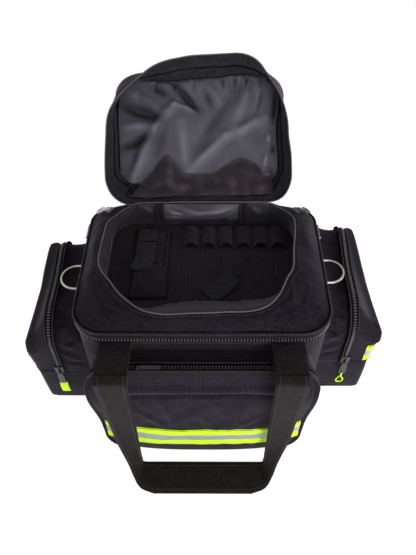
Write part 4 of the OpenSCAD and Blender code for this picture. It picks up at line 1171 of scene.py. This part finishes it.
def front_band():
    """Lime, silver and lime stripes across the panel, their ends carried round both sides of the pocket."""
    def face(x, up):
        up = up + 2.4 * ripple(x, 0 * x, 110, 96)
        points = on_front(x, up, set_back(x, up) - front_swell(x, up))
        return points, np.broadcast_to(FRONT_OUT, points.shape)

    low, deep_end = 23.0, 75.0
    half = front_half(48.0) - 0.4
    grids = striped_band(face, low, (-half, half), 150)
    piece("front_band_stripes", grids, [lime, silver, thread], "front_cover", ["front_band"])
    grids = []
    for side in (-1, 1):
        def end(deep, up, side=side):
            puff = 2.0 * np.sin(np.pi * np.clip(deep / deep_end, 0, 1))
            x = PANEL_HALF - drawn_in(up) * (1 - deep / deep_end) + puff
            points = on_front(side * x, up, deep)
            return points, np.broadcast_to([side * 1.0, 0, 0], points.shape)

        grids += striped_band(end, low, (24.4, 74), 40)
    piece("front_band_end_stripes", grids, [lime, silver, thread], "bag", ["front_band_ends"])


def front_depth(x, up):
    """Depth from the panel's face to the bag's front wall, which turns away round its corners."""
    beyond = np.clip(np.abs(x) - (SIDE_X - CORNER_FRONT), 0, CORNER_FRONT - 1)
    wall = FRONT_Y + CORNER_FRONT - np.sqrt(CORNER_FRONT ** 2 - beyond ** 2)
    return (wall - FOOT[1] - up * math.sin(LEAN)) / math.cos(LEAN)


def front_gusset():
    """Sides, bottom and top of the front pocket: the panel's outline carried back to the wall, with slack.

    Gives the outline of the top, for the zip.
    """
    w, h, r = PANEL_HALF, PANEL_H, PANEL_R
    below = bent([(-w, h - r), (-w, 0), (w, 0), (w, h - r)], FOOT_R, 260)
    above = bent([(-w, h - r), (-w, h), (w, h), (w, h - r)], r, 220)
    for name, path, start, node, sign in (("front_gusset_cloth", below, 4.4, "front_pocket_gusset", 1),
                                          ("front_top_cloth", above, 11.0, "front_pocket_top", -1)):
        t = np.linspace(0, 1, 26)
        start = (start + set_back(path[:, 0], path[:, 1]))[:, None]
        deep = start + (front_depth(path[:, 0], path[:, 1])[:, None] - start) * t
        along = unit(np.gradient(path, axis=0))
        out = sign * np.stack([along[:, 1], -along[:, 0]], 1)
        s = lengths(path)[:, None]
        puff = np.sin(np.pi * t) * (1.6 + 1.4 * ripple(s, deep, 45, 97))
        plan = path[:, None] + out[:, None] * puff[..., None]
        x, up = plan[..., 0], plan[..., 1]
        x = x - np.sign(x) * np.minimum(np.abs(x), drawn_in(up) * (1 - t))
        skin = Grid(on_front(x, up, deep), inside=on_front(0.0, 110.0, 40.0))
        piece(name, [skin], [cloth], "bag", [node], thick=2.0)
    return above


def front_zip(path):
    """Zip round the top of the front pocket, along the panel's outline a little behind its face."""
    width, deep = 20.0, 9.0
    along = unit(np.gradient(path, axis=0))
    out = unit(-along[:, 1:] * [1, 0, 0] + along[:, :1] * FRONT_UP)
    line = on_front(path[:, 0], path[:, 1], deep)
    grids = zip_grids(line, unit(out + FRONT_OUT * 0.4), width, lift=0.6)
    piece("front_zip_coil", grids, ZIP_PAINTS, "bag", ["front_pocket_zip"])


# Side pockets

SHOULDERS = (55.0, 30.0)
ZIP_Z = 224.0
BROW_Z = 196.0
# Space that the zip takes on each side of its line
ZIP_GAP = 1.4
POCKET_COLUMNS = 160
# Slack folds of the gusset, and the painted shade in its creases, as lines of (along the mouth, out)
GUSSET_FOLDS = [
    (70, 214, 96, 244, 7, 3.5), (104, 206, 84, 236, 5, -3.0), (40, 222, 64, 246, 6, 2.6),
    (128, 204, 118, 232, 6, 2.6), (24, 208, 34, 240, 5, -2.0), (150, 210, 168, 246, 7, 2.2),
]
GUSSET_CREASE_SHADE = [
    (104, 206, 84, 236, 4, 0.8), (24, 208, 34, 240, 4, 0.5), (60, 202, 140, 202, 6, 0.6),
]


def pocket_out(z, lean):
    """How far a side pocket reaches out at a height: leaning out from its foot, then folded in to the zip."""
    heights = [BASE_T, SEAM_Z, 150, BROW_Z, BROW_Z + 8, ZIP_Z]
    reaches = [SIDE_OUT - lean, SIDE_OUT - lean / 3, SIDE_OUT, SIDE_OUT, SIDE_OUT - 4, ZIP_X + ZIP_GAP]
    return np.interp(z, heights, reaches)


def end_inset(z, radius):
    """How far the cover's end draws in at a height, where the zip turns over a shoulder of that radius."""
    rise = SEAM_Z + (z - SEAM_Z) * (SIDE_TOP - SEAM_Z) / (ZIP_Z - SEAM_Z)
    over = np.clip(rise - SIDE_TOP + radius, 0, 0.997 * radius)
    return radius - math.sqrt(radius ** 2 - over ** 2)


def sampled(grid, row, column):
    """Points of a grid between its rows and columns."""
    i, j = np.floor(row).astype(int), np.floor(column).astype(int)
    u, v = (row - i)[..., None], (column - j)[..., None]
    near = grid[i, j] * (1 - u) + grid[i + 1, j] * u
    far = grid[i, j + 1] * (1 - u) + grid[i + 1, j + 1] * u
    return near * (1 - v) + far * v


class SidePocket:
    """Shape of one side pocket, worked out on the right and mirrored for the left.

    lean is how far its foot stands in, toe how far the cover's edge stands out in front and behind, and
    heel how far back and up the rear is drawn.
    """

    def __init__(self, side, name, lean, toe, heel):
        low, high = node_box(name + "_pocket_tub")
        self.side, self.lean, self.toe, self.heel = side, lean, toe, heel
        self.front, self.rear = low[1], high[1]
        self.seed = 100 + 10 * side
        self.inside = self.place((SIDE_X + 40, (self.front + self.rear) / 2, 100))

    def place(self, points):
        """Points or directions on this pocket's side of the bag."""
        return np.asarray(points) * [self.side, 1, 1]

    def hung(self, points):
        """Points moved as the pocket hangs: its top rises to the rear, the cover's edge is low in front."""
        slack_z, drawn_z = 140, 145
        rear_rise, front_drop = 8, 32
        slack = ease((points[..., 2] - slack_z) / 50) * ease((points[..., 0] - ZIP_X) / 34)
        fore = (self.rear - points[..., 1]) / (self.rear - self.front)
        drawn = (1 - ease(fore / 0.5)) * ease((points[..., 2] - drawn_z) / 55)
        out = (self.toe[0] * fore + self.toe[1] * (1 - fore)) * slack
        up = (rear_rise - front_drop * fore) * slack + self.heel[1] * drawn
        return points + np.stack([out, self.heel[0] * drawn, up], -1)

    def outline(self, z, back):
        """Plan line round the pocket at a height, from its front end out and round to its rear end."""
        edge = pocket_out(z, self.lean)
        front = self.front + end_inset(z, SHOULDERS[0])
        rear = self.rear - end_inset(z, SHOULDERS[1])
        corner = min(8 - 3 * ease((z - 100) / 80), 0.9 * (edge - ZIP_X - 1.3))
        return bent([(back, front), (edge, front), (edge, rear), (back, rear)], corner, POCKET_COLUMNS)

    def stack(self, levels, bottom, top, swell, back):
        """Plan lines at many heights, and the directions out of them.

        They are pushed out by a swell that is greatest half way between the seams and uneven by ripples.
        """
        plan = np.stack([self.outline(z, back) for z in levels], 1)
        heading = unit(np.gradient(plan, axis=0))
        out = np.stack([heading[..., 1], -heading[..., 0]], -1)
        s = lengths(plan[:, 0])[:, None]
        share = np.clip((levels - bottom) / (top - bottom), 0.02, 0.98)
        fade = np.sin(np.pi * s / s[-1]) ** 0.6 * np.sin(np.pi * share) ** 0.5
        uneven = 1 + 0.5 * ripple(s, levels, 130, self.seed) + 0.3 * ripple(s, levels, 46, self.seed + 1)
        bulge = fade * swell * uneven
        plan = plan + out * bulge[..., None]
        points = np.concatenate([plan, np.broadcast_to(levels, bulge.shape)[..., None]], 2)
        return points, np.pad(out, ((0, 0), (0, 0), (0, 1)))

    def gusset(self):
        """Cloth behind the zip, its tone (painted shade in its creases), and the directions out of it.

        The mouth's outline is carried out from the wall, puffed and folded between its seams, sunk on top.
        """
        corners = [(self.front, SEAM_Z), (self.front, SIDE_TOP), (self.rear, SIDE_TOP), (self.rear, SEAM_Z)]
        mouth = bent(corners, SHOULDERS, 190)
        t = np.linspace(0, 1, 30)
        x = SIDE_X + (ZIP_X - ZIP_GAP - SIDE_X) * t
        along = unit(np.gradient(mouth, axis=0))
        out = np.stack([-along[:, 1], along[:, 0]], 1)
        s = lengths(mouth)[:, None]
        y, z = mouth[:, :1], mouth[:, 1:]
        arch = np.sin(np.pi * t)
        puff = arch * (0.6 + 1.8 * ripple(s, x, 70, self.seed + 2)) - 4.0 * arch ** 2 * (z > SIDE_TOP - 20)
        puff = puff + arch * folds(s, x, GUSSET_FOLDS)
        fall = (z - SEAM_Z) / (SIDE_TOP - SEAM_Z) * (SIDE_TOP - ZIP_Z) * t
        y = y + out[:, :1] * puff
        z = z + out[:, 1:] * puff - fall
        points = np.stack([np.broadcast_to(x, puff.shape), y, z], -1)
        # Painted shade in the gusset's creases
        tone = np.clip(folds(s, x, GUSSET_CREASE_SHADE), 0, 0.85)
        return self.hung(points), tone, np.column_stack([np.zeros(len(out)), out])

    def skin(self, levels):
        """The cover's cloth at many heights, in place, and the directions out of it."""
        points, out = self.stack(levels, SEAM_Z, ZIP_Z, 2.4, ZIP_X + 1.3)
        return self.place(self.hung(points)), self.place(out)


def pocket_tub(pocket, name):
    """Fixed part of a side pocket: its lower belt and flat bottom, the gusset behind its zip, and the zip."""
    belt = pocket.stack(np.linspace(BASE_T, SEAM_Z, 30), BASE_T, SEAM_Z, 2.0, SIDE_X)[0]
    x, y = belt[:, 0, :1], belt[:, 0, 1:2]
    under = np.linspace(1, 0, 10)
    bottom = np.stack([SIDE_X + (x - SIDE_X) * under, y + 0 * under, BASE_T + 0 * x * under], -1)
    gusset, tone, around = pocket.gusset()
    grids = [Grid(pocket.place(points), inside=pocket.inside) for points in (belt, bottom)]
    grids.append(Grid(pocket.place(gusset), inside=pocket.inside, tone=tone))
    piece(name + "_pocket_tub_cloth", grids, [cloth], "bag", [name + "_pocket_tub"], thick=2.0)
    line = gusset[:, -1] + [ZIP_GAP, 0, 0] + around * ZIP_GAP
    tipped = unit(around + [0.45, 0, 0])
    grids = zip_grids(pocket.place(line), pocket.place(tipped), 22.0, lift=0.6)
    piece(name + "_pocket_zip_coil", grids, ZIP_PAINTS, "bag", [name + "_pocket_zip"])


def pocket_cover(pocket, name, wrap):
    """Cover of a side pocket, its seam, and its band, which begins at column wrap and is lower in front."""
    band_z, band_dip, band_end = 112.0, 15, POCKET_COLUMNS - 19
    count = 80
    levels = np.linspace(SEAM_Z, BROW_Z, count)
    brow = np.linspace(BROW_Z + 1.5, ZIP_Z - 0.6, 26)
    cover, out = pocket.skin(np.concatenate([levels[::2], [BROW_Z], brow]))
    piece(name + "_pocket_cover_cloth", [Grid(cover, inside=pocket.inside)], [cloth], name + "_cover",
          [name + "_pocket_cover"], thick=2.0)
    seams = [stitching(cover[:, 0] + UP * rise, out[:, 0], lift=0.5, paint=0) for rise in (2.0, 8.0)]
    seams.append(flat_tape(cover[:, 0], out[:, 0], 3.0, 1.6, paint=1))
    piece(name + "_pocket_seam", seams, [thread, binding_and_seam_shade], name + "_cover")
    skin = pocket.skin(levels)

    def face(step, up):
        low_in_front = up - band_dip * (1 - step / POCKET_COLUMNS)
        return [sampled(part, step, np.interp(low_in_front, levels, np.arange(count))) for part in skin]

    grids = striped_band(face, band_z, (wrap, band_end), 124)
    piece(name + "_pocket_band_stripes", grids, [lime, silver, thread], name + "_cover",
          [name + "_pocket_band"])


def side_pocket(side, name, lean, toe, heel, wrap):
    """One side pocket: its tub with the zip, then the cover."""
    pocket = SidePocket(side, name, lean, toe, heel)
    pocket_tub(pocket, name)
    pocket_cover(pocket, name, wrap)


# Pulls of the side pockets

# Outlines seen from the front: the slider's cast shield, and the plate that hangs from it
SHIELD = [
    (0, 10), (7, 9), (8, 3), (6.5, -4), (5.5, -10), (0, -10.5), (-5.5, -10), (-6.5, -4), (-8, 3), (-7, 9),
]
BLADE = [
    (0, 19), (3.5, 18), (4.2, 12), (5.5, 8), (6, -8), (6, -17), (0, -18), (-6, -17), (-6, -8), (-5.5, 8),
    (-4.2, 12), (-3.5, 18),
]
# The right pull's cord from end to end, as points round the pull's middle
CORD_LOOP = [
    (1.0, -1.6, 72), (1.2, -2.0, 66), (0.0, -2.4, 60), (-2.6, -2.4, 54), (-5.2, -2.2, 48.5),
    (-6.2, -2.0, 42), (-4.4, -1.8, 36.8), (0.0, -1.6, 34.6), (4.4, -1.8, 36.8), (6.2, -2.4, 42),
    (5.2, -3.6, 48.5), (2.6, -4.8, 54), (0.0, -5.6, 60), (-1.2, -5.2, 66), (-1.0, -4.4, 72),
]


def plate(outline, middle, side, thick):
    """A cast plate facing forward: its outline drawn in to the middle on both faces, with a rounded edge."""
    shrink = np.array([0, 0.5, 0.9, 0.97, 1.0, 1.0, 0.97, 0.9, 0.5, 0])
    depth = np.array([1, 1, 1, 0.9, 0.6, -0.6, -0.9, -1, -1, -1]) * thick / 2
    edge = smooth(outline, 64, closed=True)
    flat = edge[:, None] * shrink[:, None]
    deep = np.broadcast_to(-depth, flat.shape[:2])
    points = np.stack([side * flat[..., 0], deep, flat[..., 1]], -1) + middle
    return Grid(points, wrap_rows=True, inside=middle)


def side_pulls():
    """Sliders and pulls of the side zips: a cast shield with a bridge, and a plate hung from the bridge."""
    blade_z = 85.0
    for side, name in ((-1, "left"), (1, "right")):
        low, high = node_box(name + "_slider")
        middle = (low + high) / 2
        turn = np.linspace(-0.25, np.pi + 0.25, 24)
        arch = middle + np.column_stack([0 * turn, -1.5 - 5.0 * np.sin(turn), 7.0 * np.cos(turn)])
        bridge = Grid(carried(arch, np.array([1.0, 0, 0]), round_profile(1.6)), False, True, flip=True)
        shield = plate(SHIELD, middle, side, 5.0)
        piece(name + "_slider_cast", [shield, bridge], [black_metal], name + "_slider", [name + "_slider"],
              weld=True)
        low, high = node_box(name + "_pull")
        middle = np.array([(low[0] + high[0]) / 2, low[1] - 1.2, blade_z])
        blade = plate(BLADE, middle, side, 2.2)
        piece(name + "_pull_blade", [blade], [black_metal], name + "_pull", [name + "_pull"],
              weld=True)


def left_pull_tag():
    """Lime tag on the left pull: a flat strip that bows forward along its length."""
    low, high = node_box("left_pull_tag")
    middle = (low + high) / 2
    wide = np.linspace(low[0] - 0.5, high[0] + 1.0, 10)
    tall = np.linspace(high[2] + 9, low[2] - 7, 18)
    x, z = np.meshgrid(wide, tall, indexing="ij")
    bow = 3.0 + 0.8 * np.sin(np.pi * (z - low[2]) / (high[2] - low[2])) + 0.3 * ripple(x, z, 12, 121)
    tag = Grid(np.stack([x, middle[1] - bow, z], -1), inside=middle + [0, 50, 0])
    piece("left_pull_tag_cloth", [tag], [lime], "left_pull", ["left_pull_tag"], thick=1.8, inward=0.0)


def right_pull_cord():
    """Lime cord on the right pull: a round tube along a loop that leaves the pull and comes back to it."""
    low, high = node_box("right_pull_cord")
    middle = (low + high) / 2
    radius = 1.4
    path = smooth(np.array(CORD_LOOP) + [middle[0], middle[1], 0], 72)
    tube = Grid(carried(path, np.array([0, -1.0, 0]), round_profile(radius, 10)), False, True, flip=True)
    made = piece("right_pull_cord_loop", [tube], [lime], "right_pull", ["right_pull_cord"])


# Carrying handles, rings and harness

STRAP_T = 2.4


def ribbon(inner, outer, count):
    """Webbing between two edge lines, as a closed band: its two faces and both edges."""
    a, b = even(inner, count), even(outer, count)
    face = unit(np.cross(np.gradient((a + b) / 2, axis=0), b - a)) * STRAP_T / 2
    t = np.linspace(0, 1, 9)[:, None]
    top = a[:, None] + face[:, None] + (b - a)[:, None] * t
    low = b[:, None] - face[:, None] + (a - b)[:, None] * t
    return np.concatenate([top, low], 1)


def handle(way, bend_y, bend_z, mid_y, foot_y):
    """Edges of one carrying handle, inner and outer: from the left bend down, along the grip and up again.

    Each edge is a smooth curve through points of its right half, mirrored. way is -1 in front and 1 behind.
    """
    low, knee = 2.2, 130
    inner_x, outer_x = 108, 158
    grip = foot_y + way * 57
    shin_y, shin_z = (bend_y + mid_y) / 2, (bend_z + knee) / 2 + 4
    over = [(12, 12.2), (2, 7.0)] if way < 0 else []
    inner = [(inner_x, bend_y + back, bend_z + rise) for back, rise in over]
    outer = [(outer_x, bend_y + back, bend_z + rise) for back, rise in over]
    inner += [(inner_x, bend_y, bend_z), (inner_x, shin_y, shin_z), (107, mid_y, knee),
              (107, (mid_y + foot_y) / 2, 62), (107, foot_y, 14), (104, foot_y + way * 1.5, low + 1.2),
              (84, foot_y + way * 1.5, low)]
    outer += [(outer_x, bend_y, bend_z), (153, shin_y, shin_z), (149, mid_y, knee),
              (142, mid_y + way * 8, 78), (128, foot_y + way * 17, 24), (120, foot_y + way * 30, 5),
              (107, grip - way * 9, low), (84, grip, low)]
    halves = [smooth(line, 120) for line in (inner, outer)]
    return [np.concatenate([half * [-1, 1, 1], half[::-1]]) for half in halves]


def handles():
    """Front and rear carrying handles, each one length of webbing, soft at the bends, with stitched edges."""
    places = {"front_handle": (-1, -212.5, 244.5, -218.5, -224.5),
              "rear_handle": (1, 147.0, 251.0, 153.0, 159.0)}
    for name, (way, bend_y, bend_z, mid_y, foot_y) in places.items():
        inner, outer = handle(way, bend_y, bend_z, mid_y, foot_y)
        points = ribbon(inner, outer, 330)
        middle = points.mean(1)
        s = lengths(middle)
        wave = 1.2 * ripple(s, 0 * s, 90, 131 + way) * np.sin(np.pi * s / s[-1])
        above_floor = middle[:, 2:, None] > 12
        points = points + np.array([0, way, 0]) * wave[:, None, None] * above_floor
        grids = [Grid(points, wrap_columns=True, flip=way > 0)]
        out = unit(np.cross(np.gradient(middle, axis=0), points[:, 8] - points[:, 0]))
        for column, face in ((1, out), (7, out), (10, -out), (16, -out)):
            grids.append(stitching(points[:, column], face, lift=0.1))
        piece(name + "_webbing", grids, [webbing, thread], name, [name])


def handle_anchors():
    """Sewn ends of the handles: webbing flat on the wall, then out to the bend, with a box of stitches."""
    anchor_x, front_bend, rear_bend = 133, (-210.0, 245.6), (144.2, 251.8)
    front = [(FRONT_Y - 1.6, 236), (FRONT_Y - 1.6, 246), (FRONT_Y - 2.2, 251.5), (FRONT_Y - 6.5, 254.5),
             ((FRONT_Y + front_bend[0]) / 2, 257), (front_bend[0] + 16, 256), (front_bend[0] + 4, 251),
             front_bend]
    rear = [(REAR_Y + 1.6, 236), (REAR_Y + 1.6, 246), (REAR_Y + 2.4, 250.6), rear_bend]
    square = np.array([(-20, 238), (20, 238), (20, 246), (-20, 246), (-20, 238)], float)
    grids = []
    for way, wall, profile in ((-1, FRONT_Y, front), (1, REAR_Y, rear)):
        for side in (-1, 1):
            middle = side * anchor_x
            line = smooth([(middle, y, z) for y, z in profile], 60)
            out = unit(np.cross(np.gradient(line, axis=0), [way * -1.0, 0, 0]))
            grids.append(flat_tape(line, out, BAND_W, STRAP_T))
            box = np.column_stack([middle + square[:, 0], np.full(5, wall + way * 3.3), square[:, 1]])
            grids.append(stitching(even(box, 60), np.array([0.0, way, 0]), lift=0.2))
    piece("handle_anchor_webbing", grids, [webbing, thread], "bag", ["handle_anchors"])


def ring_tabs():
    """Webbing tabs that hold the rings: a loop round the ring's bar, sewn flat to the wall above."""
    high = node_box("ring_tabs")[1]
    width, loop_r, bar_x, bar_z = 39.0, 3.4, high[0] - 4.5, 244
    turn = np.radians(np.linspace(110, -200, 24))
    loop_x, loop_z = bar_x + loop_r * np.cos(turn), bar_z + loop_r * np.sin(turn)
    grids = []
    for side, name in ((-1, "left_ring"), (1, "right_ring")):
        ring_low, ring_high = node_box(name)
        middle = (ring_low[1] + ring_high[1]) / 2
        loop = np.column_stack([loop_x, np.full(24, middle), loop_z])
        flat = [(SIDE_X + 1.4, middle, high[2]), (SIDE_X + 1.6, middle, 249.5)]
        line = smooth(np.concatenate([flat, loop]), 60) * [side, 1, 1]
        out = unit(np.cross(np.gradient(line, axis=0), [0, -side * 1.0, 0]))
        grids.append(flat_tape(line, out, width, 1.3))
        for rise in (248.0, 252.5):
            ends = [(side * (SIDE_X + 2.6), middle + end * (width / 2 - 3), rise) for end in (-1, 1)]
            grids.append(stitching(even(np.array(ends), 20), np.array([side, 0.0, 0]), lift=0.2))
    piece("ring_tab_webbing", grids, [webbing, thread], "bag", ["ring_tabs"])


def padded_slab(middle, out, width, thick, channel, seed):
    """A padded strip along a path: a rounded oblong section, drawn in at channels sewn every channel mm."""
    s = lengths(middle)
    turn = np.linspace(0, 2 * np.pi, 40, endpoint=False)
    c, d = np.cos(turn), np.sin(turn)
    wide = np.sign(c) * np.abs(c) ** 0.35 * width / 2
    deep = np.sign(d) * np.abs(d) ** 0.6 * thick / 2
    flat = np.stack([wide, deep], 1)
    quilt = 1 - 0.3 * np.abs(np.cos(np.pi * s / channel)) ** 8
    end = np.minimum(1, np.minimum(s, s[-1] - s) / (thick * 0.8)) ** 0.5
    profile = flat[None] * np.stack([0.92 + 0.08 * end, np.maximum(0.02, quilt * end)], 1)[:, None]
    profile[:, :, 1] *= 1 + 0.06 * ripple(s[:, None], flat[None, :, 0], 40, seed)
    return Grid(carried(middle, out, profile), False, True, flip=True)


def back_pad():
    """Back pad of quilted mesh, its channels across it."""
    low, high = node_box("back_pad")
    width, thick, _ = high - low
    y, z = np.full(240, (low[1] + high[1]) / 2), np.linspace(high[2], low[2], 240)
    middle = np.column_stack([np.zeros(240), y, z])
    slab = padded_slab(middle, BEHIND, width, thick, 42.8, 141)
    pad = piece("back_pad_mesh", [slab], [mesh_cloth], "bag", ["back_pad"])


def shoulder_straps():
    """Two padded shoulder straps, each bowed back on an arc, with a row of stitches by both edges."""
    low, high = node_box("shoulder_straps")
    width, thick, channel = 62, 10, 60
    outer_r, radius = 100, 95.0
    centre_y, centre_z = high[1] - outer_r, (low[2] + high[2]) / 2
    half = math.asin((high[2] - low[2]) / 2 / outer_r)
    turn = np.linspace(half * 0.985, -half * 0.985, 160)
    out = np.column_stack([np.zeros(160), np.cos(turn), np.sin(turn)])
    for side, name in ((-1, "left"), (1, "right")):
        x = side * (high[0] - width / 2)
        middle = np.array([x, centre_y, centre_z]) + radius * out
        slab = padded_slab(middle, out, width, thick, channel, 142 + side)
        strap = piece(name + "_shoulder_strap_pad", [slab], [mesh_cloth], "bag")
        if side < 0:
            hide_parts("shoulder_straps")
        edge = [stitching(middle, out, shift=shift, lift=4.2, paint=0) for shift in (-24, 24)]
        piece(name + "_shoulder_strap_stitches", edge, [thread], "bag")


def lower_straps():
    """Webbing straps below the padded ones, straight down the back."""
    low, high = node_box("lower_straps")
    width, y = 25, (low[1] + high[1]) / 2
    grids = []
    for side in (-1, 1):
        x = side * (high[0] - width / 2)
        line = np.column_stack([np.full(30, x), np.full(30, y), np.linspace(high[2], low[2], 30)])
        grids.append(flat_tape(line, BEHIND, width, 2.0))
    piece("lower_strap_webbing", grids, [webbing], "bag", ["lower_straps"])


def finish_hardware():
    """Materials of the CAD pieces that show as they are."""
    finishes = {
        board: ["base_stiffener"],
        nickel: ["left_ring", "right_ring"],
        gunmetal: ["left_main_slider", "right_main_slider", "left_main_pull", "right_main_pull"],
        black_metal: ["front_slider", "hood_sliders", "front_pull"],
        pale_pull: ["left_hood_pull"],
        smoke_pull: ["right_hood_pull"],
        acetal: ["strap_buckles"],
    }
    for finish, names in finishes.items():
        for name in names:
            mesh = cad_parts[name].data
            mesh.materials.clear()
            mesh.materials.append(finish)


main_walls()
base_cloth()
main_zip()
lid_border()
lid_piping()
pocket_inside()
pocket_zip()
elastic_loops()
scissor_sheath()
sheath_strap()
keeper_tab()
hinge_cloth()
hinge_tapes()
hood_shell()
hood_facing(hood_lining())
hood_zip()
front_zip(front_gusset())
front_panel()
front_band()
side_pocket(-1, "left", lean=6, toe=(2, -15), heel=(0, 14), wrap=24)
side_pocket(1, "right", lean=0, toe=(9, -19), heel=(12, 20), wrap=18)
side_pulls()
left_pull_tag()
right_pull_cord()
handles()
handle_anchors()
ring_tabs()
back_pad()
shoulder_straps()
lower_straps()
finish_hardware()


# Floor, light and camera

def aim_at(holder, spot, target, roll=0.0):
    """Stands a lamp or camera at a spot, looking at a target, turned by roll about its own axis."""
    back = unit(np.asarray(spot, float) - target)
    right = unit(np.cross(UP, back))
    top = np.cross(back, right)
    painted_light = np.cos(roll) * right + np.sin(roll) * top, np.cos(roll) * top - np.sin(roll) * right
    place = np.column_stack([*painted_light, back, np.asarray(spot) * MM])
    holder.matrix_world = Matrix(np.vstack([place, [0, 0, 0, 1]]).tolist())


def paper_floor():
    """A pale floor that keeps the object's shadow."""
    half, drop = 6000, 0.05
    points = np.array([(x, y, -drop) for x in (-half, half) for y in (-half, half)]) * MM
    mesh = bpy.data.meshes.new("floor")
    mesh.from_pydata(points.tolist(), [], [(0, 2, 3, 1)])
    floor = bpy.data.objects.new("floor", mesh)
    bpy.context.scene.collection.objects.link(floor)
    # White paper, so evenly lit that only the shadow shows on it
    paper, _, shader, _ = blank("paper_backdrop")
    set_shader(shader, Base_Color=linear("#e8e8e8"), Roughness=1.0, Specular_IOR_Level=0.0,
               Emission_Color=(1, 1, 1, 1), Emission_Strength=0.72)
    mesh.materials.append(paper)


def white_world():
    """A white surround: full for the camera, mirrors and glass, a third as strong as light on matt faces."""
    world = bpy.data.worlds.new("studio")
    world.use_nodes = True
    tree = world.node_tree
    ray = add(tree, "ShaderNodeLightPath").outputs
    straight = add(tree, "ShaderNodeMath", {0: ray["Is Camera Ray"], 1: ray["Is Transmission Ray"]},
                   operation="MAXIMUM").outputs[0]
    seen = add(tree, "ShaderNodeMath", {0: straight, 1: ray["Is Glossy Ray"]}, operation="MAXIMUM").outputs[0]
    level = add(tree, "ShaderNodeMapRange", {"Value": seen, "To Min": 0.33, "To Max": 1.0}).outputs[0]
    background = tree.nodes["Background"]
    background.inputs["Color"].default_value = (1, 1, 1, 1)
    tree.links.new(level, background.inputs["Strength"])
    bpy.context.scene.world = world


def lamps():
    """Three soft square lamps, the key in front and a fill on each side, by their spot, aim and watts."""
    size = 1000
    for name, spot, aim, power in (("key", (700, -1500, 500), (0, -50, 200), 21),
                                   ("left", (-1500, -300, 600), (0, 0, 150), 4),
                                   ("right", (1500, -300, 600), (0, 0, 150), 7)):
        lamp = bpy.data.lights.new(name, "AREA")
        lamp.energy, lamp.size = power, size * MM
        holder = bpy.data.objects.new(name, lamp)
        aim_at(holder, np.array(spot), np.array(aim))
        bpy.context.scene.collection.objects.link(holder)


def photo_camera():
    """Camera where the photograph was taken: its place, tilt and focal length in pixels of the photograph."""
    spot = np.array([13.14, -602.6, 944.95])
    turn, tilt, roll = math.radians(0.42), math.radians(49.33), math.radians(-0.26)
    focal, photo_height, sensor = 538.62, 555, 36.0
    back = np.array([math.sin(turn) * math.cos(tilt), -math.cos(turn) * math.cos(tilt), math.sin(tilt)])
    data = bpy.data.cameras.new("camera")
    data.sensor_width = sensor
    data.lens = focal * sensor / photo_height
    data.clip_start, data.clip_end = 0.01, 100
    camera = bpy.data.objects.new("camera", data)
    aim_at(camera, spot, spot - back, roll)
    bpy.context.scene.collection.objects.link(camera)
    bpy.context.scene.camera = camera


paper_floor()
white_world()
lamps()
photo_camera()
bpy.context.scene.view_settings.view_transform = "Standard"
